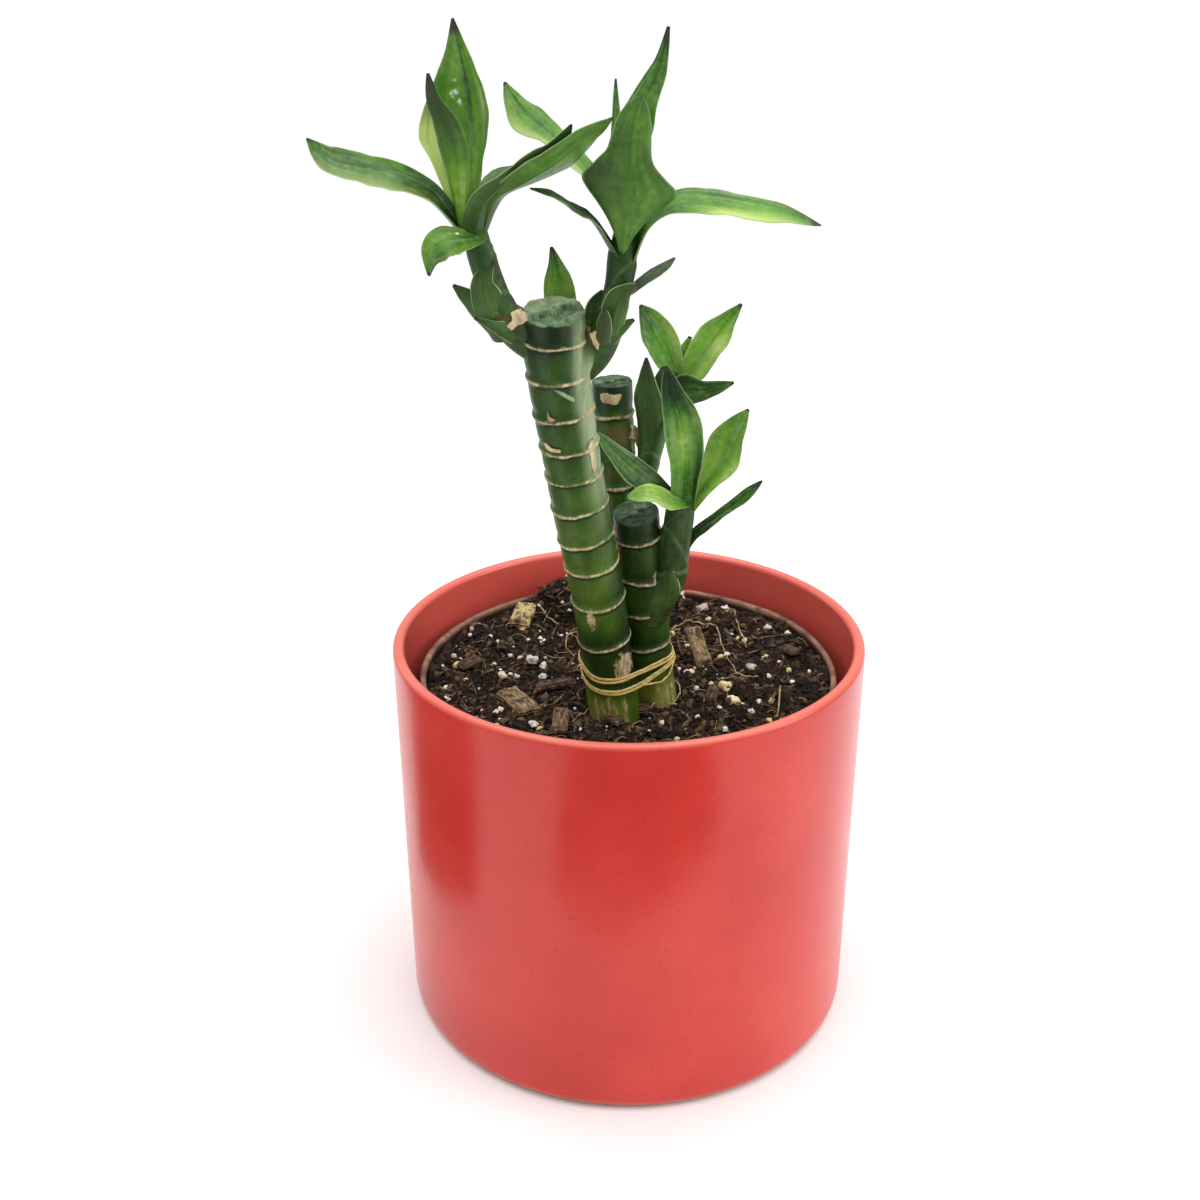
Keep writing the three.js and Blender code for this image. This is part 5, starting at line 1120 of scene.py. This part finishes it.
def make_roots():
    draw = random.Random(9)
    near, far = [], []
    for trail in ROOTS:
        spots = np.array([tuple(on_soil(u, v)) for u, v in trail])
        fine = run(spots[:, :2], np.linspace(0, 1, 9 * (len(trail) - 1)))
        lift = 0.5 + 0.7 * np.abs(np.sin(np.linspace(0, 7, len(fine)) + draw.uniform(0, 3)))
        near.append(np.column_stack([fine, soil_surface(fine[:, 0], fine[:, 1]) + lift]).tolist())
    while len(far) < FIBRES:
        x, y = draw.uniform(-FIBRE_REACH, FIBRE_REACH), draw.uniform(-FIBRE_REACH, FIBRE_REACH)
        if math.hypot(x, y) > FIBRE_REACH - 0.5 or under_cane(x, y, 0.3):
            continue
        way, bend = draw.uniform(0, 6.3), draw.uniform(-0.5, 0.5)
        trail = []
        for _ in range(draw.randint(6, 14)):
            if math.hypot(x, y) > FIBRE_REACH:
                break
            trail.append((x, y))
            x, y = x + FIBRE_STEP * math.cos(way), y + FIBRE_STEP * math.sin(way)
            way += bend * 0.5 + draw.uniform(-0.3, 0.3)
        if len(trail) < 4:
            continue
        spots = np.array(trail)
        arch = draw.uniform(0.2, 1.1) * np.sin(np.linspace(0, math.pi, len(spots)))
        far.append(np.column_stack([spots, soil_surface(spots[:, 0], spots[:, 1]) + arch + 0.35]).tolist())
    settle("surface_roots", strands("surface_roots", near, wide=0.5, thick=0.42, twist=1.5,
                                    uneven=0.9, sides=6, seed=2.0, finish=ROOT))
    settle("soil_fibres", strands("soil_fibres", far, wide=0.2, thick=0.16, twist=0.0,
                                  uneven=0.8, sides=4, seed=6.0, finish=ROOT))


make_roots()


# Canes, and the side of them that catches the light, in degrees
LIT_SIDE = 342


def add_rings(spec, c, s, high, base):
    # Ridges, the pale scars on them, and how far below a ring each place lies
    seed = spec["seed"]
    scar, since = np.zeros_like(base), np.full_like(base, 30.0)
    for k, ring in enumerate(spec["rings"]):
        wobble = 0.55 * lumps(c * 0.9, s * 0.9, seed + k * 7.3) + 0.22 * lumps(c * 3, s * 3, seed + k * 3.9)
        width = 0.46 + 0.24 * lumps(c * 1.7, s * 1.7, seed + k * 5.1) + 0.2 * lumps(c * 6, s * 6, seed + k)
        width = np.maximum(width, 0.2)
        far = high - ring - wobble
        base += RING_RISE * hump(far, width + 0.15) - 0.16 * hump(far - 1.6, 1.1) - 0.1 * hump(far + 1.3, 0.8)
        kept = 0.3 + 0.7 * ease(-0.42, -0.2, lumps(c * 1.3, s * 1.3, seed + k * 9.1))
        scar = np.maximum(scar, kept * ease(0.25, 0.75, hump(far, width * 0.8)))
        beneath = -far - 0.75 * width
        since = np.where(beneath > 0, np.minimum(since, beneath), since)
    return scar, since


def add_patches(spec, c, s, degrees, high, base, scar):
    # Husk scars stand out from the cane, stains only colour it, and stripes run down to the soil
    seed = spec["seed"]
    base += 0.10 * lumps(c * 1.4, s * 1.4, high * 0.06 + seed)
    base += 0.03 * lumps(c * 9, s * 9, high * 0.12 + seed)
    blur, torn = lumps(c * 5, s * 5, high * 0.55 + seed), lumps(c * 14, s * 14, high * 1.3 + seed)
    stain = np.zeros_like(base)
    for height, where, tall, wide, strength in spec["patches"]:
        turn = (degrees - where + 180) % 360 - 180
        reach = np.sqrt(((high - height) / tall) ** 2 + (turn / wide) ** 2)
        patch = ease(1.05, 0.85, reach + 0.5 * blur + 0.4 * torn) * strength
        base += 0.08 * patch
        if strength > 0.6:
            scar = np.maximum(scar, patch)
        else:
            stain = np.maximum(stain, ease(1.2, 0.4, reach + 0.3 * blur) * strength * 2)
    for where, height in spec["stripes"]:
        turn = (degrees - where + 180) % 360 - 180
        run_down = ease(height + 3, height, high) * ease(4.5, 1.5, np.abs(turn + 6 * blur))
        scar = np.maximum(scar, run_down * 0.8)
    return scar, stain


def cane_tone(spec, tall, degrees, high, since, top):
    # Younger and darker near the top, yellower towards the soil, with painted shade just under each ring; and a pale
    # sheen painted on its lit side, standing in for light from the right
    age = 0.35 + 0.17 * ease(198, 165, high) + 0.54 * ease(113, 103, high) + spec["tone"]
    age = age - spec["low_dark"] * ease(132, 120, high)
    age = age - spec["cap_dark"] * ease(top - 7.5, top - 4.5, high)
    # Painted shade: a thin dark line just under each ring, and a faint lighter band below it
    age = age - 0.3 * hump(since - 0.3, 0.5) + 0.06 * hump(since - 5, 3)
    lit = (degrees - LIT_SIDE + 180) % 360 - 180
    # Pale sheen painted on the lit side of the upper cane, standing in for light from the right
    bloom = ease(52, 20, np.abs(lit + 14 * lumps(high * 0.05, spec["seed"], 0.0))) * ease(150, 180, high)
    if not tall:
        return age, bloom * 0.2
    # Painted shade: darker on its lit side low down, where it leans against the others and they shade it
    return age - 0.26 * ease(50, 15, np.abs(lit)) * ease(150, 135, high), bloom


def cut_top(spec, c, s, last, tip, up, side, other):
    # The cut top, uneven and torn on one side: its rings and how pithy they are, then its rim
    rims, seed = 14, spec["seed"]
    caps, pith = [], []
    for i in range(1, rims + 1):
        share = 1 - i / (rims + 1)
        ring_points = tip + (last - tip) * share
        away = ring_points - tip
        dx, dy = away @ side, away @ other
        rough = 0.5 * lumps(dx * 0.45 + seed, dy * 0.45, 1.0) + 0.28 * lumps(dx * 1.5, dy * 1.5, seed)
        step = ease(-0.15, 0.15, dy * 0.75 - dx * 0.45 + 0.4 + 0.8 * lumps(dx * 0.5, dy * 0.5, seed + 3)) * 1.3
        rise = spec["cut"] * (rough + step * ease(1.0, 0.93, share)) - 0.15
        caps.append(ring_points + up * rise[:, None])
        # The pith is paler on the raised part, with a painted shadow line along the edge of its step; each cane's top
        # tone shifts it, and the short cane's is set dark as painted shade from the leaves over it
        pith.append(spec["top_tone"] + 0.16 * (step > 0.6) - 0.25 * hump(step - 0.65, 0.3))
    rim = spec["cut"] * (0.55 * lumps(c[0] * 1.6, s[0] * 1.6, seed + 2) + 0.4 * lumps(c[0] * 4, s[0] * 4, seed))
    rim = rim + ease(-0.3, 0.3, s[0] * 0.75 - c[0] * 0.45 + 0.1) * spec["cut"] * 0.7
    return caps, pith, rim


# Rows of points up a cane: far apart down in the soil, and close from there on
HIDDEN, HIDDEN_STEP, SEEN_STEP = 92, 5.0, 0.34


def make_cane(name, spec):
    sides, axis = 96, spec["axis"]
    bottom, top = axis[0][2], axis[-1][2]
    z = np.concatenate([np.arange(bottom, HIDDEN, HIDDEN_STEP), np.arange(HIDDEN, top - 0.9, SEEN_STEP),
                        [top - 0.6, top - 0.3, top - 0.1]])
    t = place_at_height(axis, z)
    centre, along = run(axis, t), heading(axis, t)
    angle, c, s = circle(sides)
    degrees = np.degrees(angle)[None, :]
    base = run(spec["radius"], t)[:, None] * np.ones((1, sides))
    high = z[:, None] * np.ones((1, sides))
    scar, since = add_rings(spec, c, s, high, base)
    scar, stain = add_patches(spec, c, s, degrees, high, base, scar)
    age, bloom = cane_tone(spec, name == "tall", degrees, high, since, top)
    points, side, other = round_form(centre, along, base, c, s)
    up = along[-1]
    caps, pith, rim = cut_top(spec, c, s, points[-1].copy(), centre[-1], up, side[-1, 0], other[-1, 0])
    for back in (1, 2, 3):
        points[-back] += up * (rim * (1.15 - back * 0.3))[:, None]
    flat = np.concatenate([points.reshape(-1, 3), *caps, [run(axis, 0.0)], [caps[-1].mean(axis=0)]])
    extra = len(caps) * sides
    cut = np.zeros_like(base)
    cut[-1], cut[-2] = 0.8, 0.25
    marks = {
        "scar": listed(scar, np.zeros(extra + 2)), "age": listed(age, np.full(extra, 0.3), 0, 0),
        "bloom": listed(bloom, np.zeros(extra + 2)), "stain": listed(stain, np.zeros(extra + 2)),
        "cut": listed(cut, np.ones(extra), 0, 1), "pith": listed(np.zeros_like(base), *pith, 0, 0.1)}
    piece(name + "_cane", [(flat, round_faces(len(z) + len(caps), sides), marks)], CANE, ["cane_" + name])


for name, spec in CANES.items():
    make_cane(name, spec)


def make_collars():
    rows, sides = 44, 48
    _, c, s = circle(sides)
    shapes = []
    for spec in COLLARS:
        seed, husk = spec["seed"], spec["husk"]
        place = np.linspace(0, 1, rows)[:, None] * (0.9 + 0.1 * lumps(c * 2.6, s * 2.6, seed))
        radius = run(spec["radius"], place) + 0.18 * lumps(c * 2.2, s * 2.2, place * 3 + seed)
        centre = run(spec["path"], place)
        points = round_form(centre, heading(spec["path"], place), radius, c, s, lead=1)[0]
        ends = [centre[0].mean(axis=0), centre[-1].mean(axis=0)]
        dry = ease(0.3, 0.75, place + 0.2 * lumps(c * 3, s * 3, place * 5 + seed))
        marks = {
            "scar": listed(ease(0.86, 0.97, place) * husk, 0, 0), "stain": listed(dry * husk, 0, 0),
            "age": listed(0.4 - 0.1 * place, 0, 0), "bloom": listed(spec["bloom"] * ease(0.75, 0.4, place), 0, 0),
            "cut": 0.0, "pith": 0.0}
        shapes.append((np.concatenate([points.reshape(-1, 3), ends]), round_faces(rows, sides), marks))
    piece("cane_collars", shapes, CANE)


make_collars()


def on_form(u, v, middles, radii):
    # Where the camera's ray through a place in the picture meets a round form
    ray = sight(u, v)
    start = np.array(scene.camera.matrix_world.translation) / MM
    ray = np.array(ray) / ray.y
    way = start + (CANE_DEPTHS[:, None] - start[1]) * ray
    gap = np.min(np.linalg.norm(way[:, None] - middles[None], axis=2) - radii[None], axis=1)
    met = int(np.argmax(gap < 0)) if np.any(gap < 0) else int(np.argmin(gap))
    return way[met], unit(ray)


# How a husk lies on its cane: off it, curled up at the edge, and its thickness downwards
HUSK_OFF, HUSK_CURL, HUSK_DEPTH = 0.12, 0.35, 0.5


def make_husks():
    forms = {}
    steps = np.linspace(0, 1, 260)
    for name, spec in CANES.items():
        paths = [(spec["axis"], spec["radius"])]
        if name == "tall":
            paths += [(collar["path"], collar["radius"]) for collar in COLLARS]
        forms[name] = (np.concatenate([run(path, steps) for path, _ in paths]),
                       np.concatenate([run(radius, steps) + 0.2 for _, radius in paths]))
    shapes = []
    around = 40
    for number, (name, outline) in enumerate(HUSKS):
        edge = run(outline + outline[:1], np.linspace(0, 1, around + 1)[:-1])
        middle = edge.mean(axis=0)
        jag = lumps(np.arange(around) * 0.9, number * 7.0, 1.0)
        edge = middle + (edge - middle) * (1 + 0.16 * jag)[:, None]
        top, low = [], []
        for share in (0.0, 0.4, 0.75, 1.0):
            for u, v in (edge if share else edge[:1]) * share + middle * (1 - share):
                at, ray = on_form(u, v, *forms[name])
                lift = HUSK_OFF + HUSK_CURL * share ** 3 * abs(noise.noise((u * 0.2, v * 0.2, number)))
                top.append(at - ray * lift)
                low.append(at + ray * HUSK_DEPTH)
        faces = []
        count = len(top)
        for k in range(around):
            after = (k + 1) % around
            faces.append((0, 1 + after, 1 + k))
            for a in (1, 1 + around):
                faces.append((a + k, a + after, a + around + after, a + around + k))
        faces += [tuple(count + i for i in reversed(face)) for face in faces]
        for k in range(around):
            a, b = count - around + k, count - around + (k + 1) % around
            faces.append((a, b, b + count, a + count))
        shapes.append((top + low, faces, {}))
    piece("cane_husks", shapes, HUSK)


make_husks()


# A leaf or bract: a thin cupped blade along its midrib, creased there and waved at its margins
def blade(spec, rows, columns, thickness, which):
    t = np.linspace(0, 1, rows)
    t = t - 0.06 * np.sin(2 * math.pi * t) / 2
    middle, along = run(spec["rib"], t), heading(spec["rib"], t)
    left, right = run([half if isinstance(half, tuple) else (half, half) for half in spec["half"]], t).T
    cups = np.radians(np.maximum(run(spec["cup"], t), 4))
    q = np.linspace(-1, 1, columns)
    q = np.sign(q) * (1 - (1 - np.abs(q)) ** 1.25)
    facing = np.array(spec["face"], float)
    wave, phase = spec["wave"], which * 2.4
    ring = 2 * columns + 2
    points = np.empty((rows, ring, 3))
    for i in range(rows):
        facing = facing - along[i] * (facing @ along[i])
        facing = facing / np.linalg.norm(facing)
        wide = np.cross(along[i], facing)
        half = np.maximum(np.where(q < 0, left[i], right[i]), 0.1)
        turn = q * cups[i] / 2
        bend = half / (cups[i] / 2)
        centre = middle[i] + wide * (bend * np.sin(turn))[:, None] + facing * (bend * (1 - np.cos(turn)))[:, None]
        out = facing * np.cos(turn)[:, None] - wide * np.sin(turn)[:, None]
        size = min(half.max() / 4, 1.0)
        swing = math.sin(math.pi * t[i]) * size
        ripple = wave * np.abs(q) ** 3 * np.sin(2 * math.pi * (t[i] * 2.6 + phase) + np.where(q < 0, 1.9, 0.0)) * swing
        ripple = ripple + 0.35 * wave * np.abs(q) ** 5 * np.sin(2 * math.pi * (t[i] * 7.3 + phase) + 3 * q) * swing
        crease = -0.16 * size * hump(q, 0.07)
        centre = centre + out * (ripple + crease)[:, None]
        thick = thickness * (1 - 0.62 * np.abs(q) ** 2.5) * (0.45 + 0.55 * size)
        keel = 0.22 * size * hump(q, 0.09)
        points[i, 0] = centre[0] - unit(centre[1] - centre[0]) * 0.05
        points[i, 1:columns + 1] = centre + out * (thick / 2)[:, None]
        points[i, columns + 1] = centre[-1] + unit(centre[-1] - centre[-2]) * 0.05
        points[i, columns + 2:] = (centre - out * (thick / 2 + keel)[:, None])[::-1]
    faces = [tuple(reversed(f)) for f in grid_faces(rows, ring, True)]
    faces += [tuple(range(ring)), tuple(reversed(range((rows - 1) * ring, rows * ring)))]
    place = np.repeat(t, ring)
    over = np.tile(listed(-1.02, q, 1.02, q[::-1]), rows)
    below = np.tile(listed(0.5, np.zeros(columns), 0.5, np.ones(columns)), rows)

    def by_side(pair):
        return np.where(over < 0, *pair)

    def spot(at, reach, to, across):
        return np.exp(-((place - at) / reach) ** 2 - ((over - to) / across) ** 2)
    tone = run(spec["tone"], place) + spec["under"] * below
    # Spots: painted light and shade, such as shaded folds and sheen, mixed with the leaf's own tone
    for *where, change in spec["spots"]:
        tone = tone + change * spot(*where)
    # Painted glints: small highlights on the upper side
    glint = np.zeros_like(place)
    for where in spec["glints"]:
        glint = np.maximum(glint, (1 - below) * spot(*where))
    tip, (first, last) = spec["tip"], spec["band_along"]
    band = by_side(spec["band"]) * ease(0.15, 0.9, np.abs(over)) * np.sin(math.pi * np.clip(place * 1.02, 0, 1))
    band = band * ease(first - 0.12, first + 0.06, place) * ease(last + 0.1, last - 0.06, place)
    marks = {
        "along": place, "across": over, "under": below, "tone": tone, "which": which * 3.7, "band": band,
        "dry": ease(1 - tip * 1.5, 1 - tip * 0.35, place), "margin": by_side(spec["margin"]),
        "midrib": spec["midrib"] * (1 - 0.6 * below), "glint": glint}
    return points.reshape(-1, 3), faces, marks


for number, (name, spec) in enumerate(LEAVES.items()):
    shape = blade({**PLAIN_LEAF, **spec}, rows=72, columns=25, thickness=0.5, which=number + 1)
    piece(name + "_leaf", [shape], LEAF, ["leaf_" + name])


# Shoots: a stem wrapped in sheaths, whose slanting edges show as pale lines, with short bracts
def shoot_stem(spec, seed):
    sides, rows = 48, 110
    t = np.linspace(0, 1, rows)
    angle, c, s = circle(sides)
    place = t[:, None] * np.ones((1, sides))
    radius = run(spec["radius"], t)[:, None] * np.ones((1, sides))
    line = np.zeros_like(radius)
    for at, where, slant in spec["sheaths"]:
        edge = at + slant * np.cos(angle[None, :] - math.radians(where)) + 0.008 * lumps(c * 3, s * 3, seed + at * 9)
        radius += 0.24 * ease(0.006, -0.006, place - edge)
        line = np.maximum(line, hump(place - edge, 0.009))
    radius += 0.07 * lumps(c * 1.5, s * 1.5, place * 5 + seed) + 0.02 * lumps(c * 10, s * 10, place * 3)
    radius -= 0.35
    centre = run(spec["axis"], t)
    points = round_form(centre, heading(spec["axis"], t), radius, c, s)[0]
    around = np.abs(((angle / math.pi) + 0.5) % 2 - 1)[None, :] * np.ones((rows, 1)) * 0.8
    marks = {
        "along": listed(0.3 + 0.3 * place, 0, 0), "across": listed(around, 0, 0),
        "tone": listed(0.42 - 0.06 * place + 0.14 * line, 0, 0), "which": seed, "under": 0.0, "dry": 0.0,
        "band": listed(line * 0.06, 0, 0), "margin": 0.0, "midrib": 0.0}
    return np.concatenate([points.reshape(-1, 3), [centre[0]], [centre[-1]]]), round_faces(rows, sides), marks


for number, (name, spec) in enumerate(SHOOTS.items()):
    shapes = [shoot_stem(spec, 5.0 + number * 4.0)]
    for k, bract in enumerate(spec["bracts"]):
        shapes.append(blade({**PLAIN_BRACT, **bract}, rows=40, columns=21, thickness=0.55,
                            which=20 + number * 6 + k))
    piece(name + "_shoot", shapes, SHEATH, ["shoot_" + name])


# Straw tie, wound round the three canes, and the middle that it goes round
TIE_MIDDLE = (-1.5, -16.5)


def tie_path(levels, shift, out, seed, steps=170):
    centre = np.array(TIE_MIDDLE)
    turns = np.linspace(levels[0][0], levels[-1][0], steps)
    heights = np.interp(turns, [at for at, _ in levels], [height for _, height in levels])
    soft = np.convolve(np.pad(heights, 3, "edge"), np.ones(7) / 7, "valid")
    path = []
    for turn, height in zip(turns, soft):
        angle = math.radians(turn)
        level = height + shift + 0.3 * noise.noise((turn * 0.02, seed, 0))
        circles = []
        for spec in CANES.values():
            t = place_at_height(spec["axis"], level)
            p = run(spec["axis"], t)
            circles.append((p[0], p[1], float(run(spec["radius"], t)) + 0.1 + out))
        aim = np.array([math.cos(angle), math.sin(angle)])
        best = 1e9
        for k in range(-30, 31):
            probe = angle + k * math.pi / 90
            normal = np.array([math.cos(probe), math.sin(probe)])
            reach = max((x - centre[0]) * normal[0] + (y - centre[1]) * normal[1] + r for x, y, r in circles)
            best = min(best, reach / (normal @ aim))
        x, y = centre + aim * best
        path.append((float(x), float(y), float(level)))
    return path


def make_tie():
    form = bmesh.new()
    for k, (way, shift, out, width) in enumerate(TIE_STRANDS):
        path = tie_path(TIE[way], shift, out, 1.0 + 2.3 * k)
        form.from_mesh(strands(f"tie_strand_{k}", [path], wide=width, thick=0.45, twist=1.6,
                               uneven=0.7, sides=10, seed=3.0 + k, finish=STRAW))
    whole = bpy.data.meshes.new("straw_tie")
    form.to_mesh(whole)
    form.free()
    whole.materials.append(STRAW)
    settle("straw_tie", whole, ["tie"])


make_tie()


# Floor, lights and the room's pale light
def sheet_of(name, corners, height, finish):
    mesh = bpy.data.meshes.new(name)
    mesh.from_pydata([(x, y, height) for x, y in corners], [], [tuple(range(len(corners)))])
    mesh.materials.append(finish)
    made = bpy.data.objects.new(name, mesh)
    scene.collection.objects.link(made)
    return made


def plain_finish(name, shade, roughness):
    f = Finish(name, roughness)
    f.shader.inputs["Base Color"].default_value = (shade, shade, shade, 1)
    return f.made


def soft_light(name, place, aim, size, power):
    lamp = bpy.data.lights.new(name, "AREA")
    lamp.shape, lamp.energy = "RECTANGLE", power
    lamp.size, lamp.size_y = size
    made = bpy.data.objects.new(name, lamp)
    made.location = place
    made.rotation_mode = "QUATERNION"
    made.rotation_quaternion = (Vector(aim) - Vector(place)).to_track_quat("-Z", "Y")
    scene.collection.objects.link(made)


# Dark cards that only the glaze sees: beside the pot and in front of it, out of the picture
CARDS = {
    "left_card": [(-0.118, -0.063), (-0.7, -0.2), (-0.7, 0.5), (-0.118, 0.03)],
    "front_card": [(-0.3, -0.74), (0.4, -0.74), (0.12, -0.16), (0.0, -0.135), (-0.08, -0.135)],
}
# Soft lights: place, what they aim at, size and power
LIGHTS = {
    "top_light": ((0.05, 0.0, 1.5), (0, 0, 0.1), (2.0, 2.0), 26),
    "right_light": ((1.0, -0.25, 0.55), (0, 0, 0.15), (0.5, 0.8), 3.5),
    "left_light": ((-0.8, 0.6, 0.6), (0, 0, 0.15), (0.5, 0.8), 1.0),
}
FLOOR = [(-0.75, -0.75), (0.75, -0.75), (0.75, 0.75), (-0.75, 0.75)]


def make_studio():
    sheet_of("floor", FLOOR, 0, plain_finish("floor_white", 0.95, 0.7))
    dark = plain_finish("card_dark", 0.03, 0.9)
    for name, corners in CARDS.items():
        card = sheet_of(name, corners, 0.002, dark)
        card.visible_camera = card.visible_diffuse = card.visible_shadow = False
    world = bpy.data.worlds.new("pale_room")
    world.use_nodes = True
    room = world.node_tree.nodes["Background"]
    room.inputs[0].default_value = (1, 1, 1, 1)
    seen = put(world.node_tree, "ShaderNodeLightPath", out="Is Camera Ray")
    world.node_tree.links.new(seen.spread(0.0, 1.0, 0.6, 1.05).socket, room.inputs["Strength"])
    scene.world = world
    for name, setting in LIGHTS.items():
        soft_light(name, *setting)
    scene.view_settings.view_transform = "Standard"


make_studio()
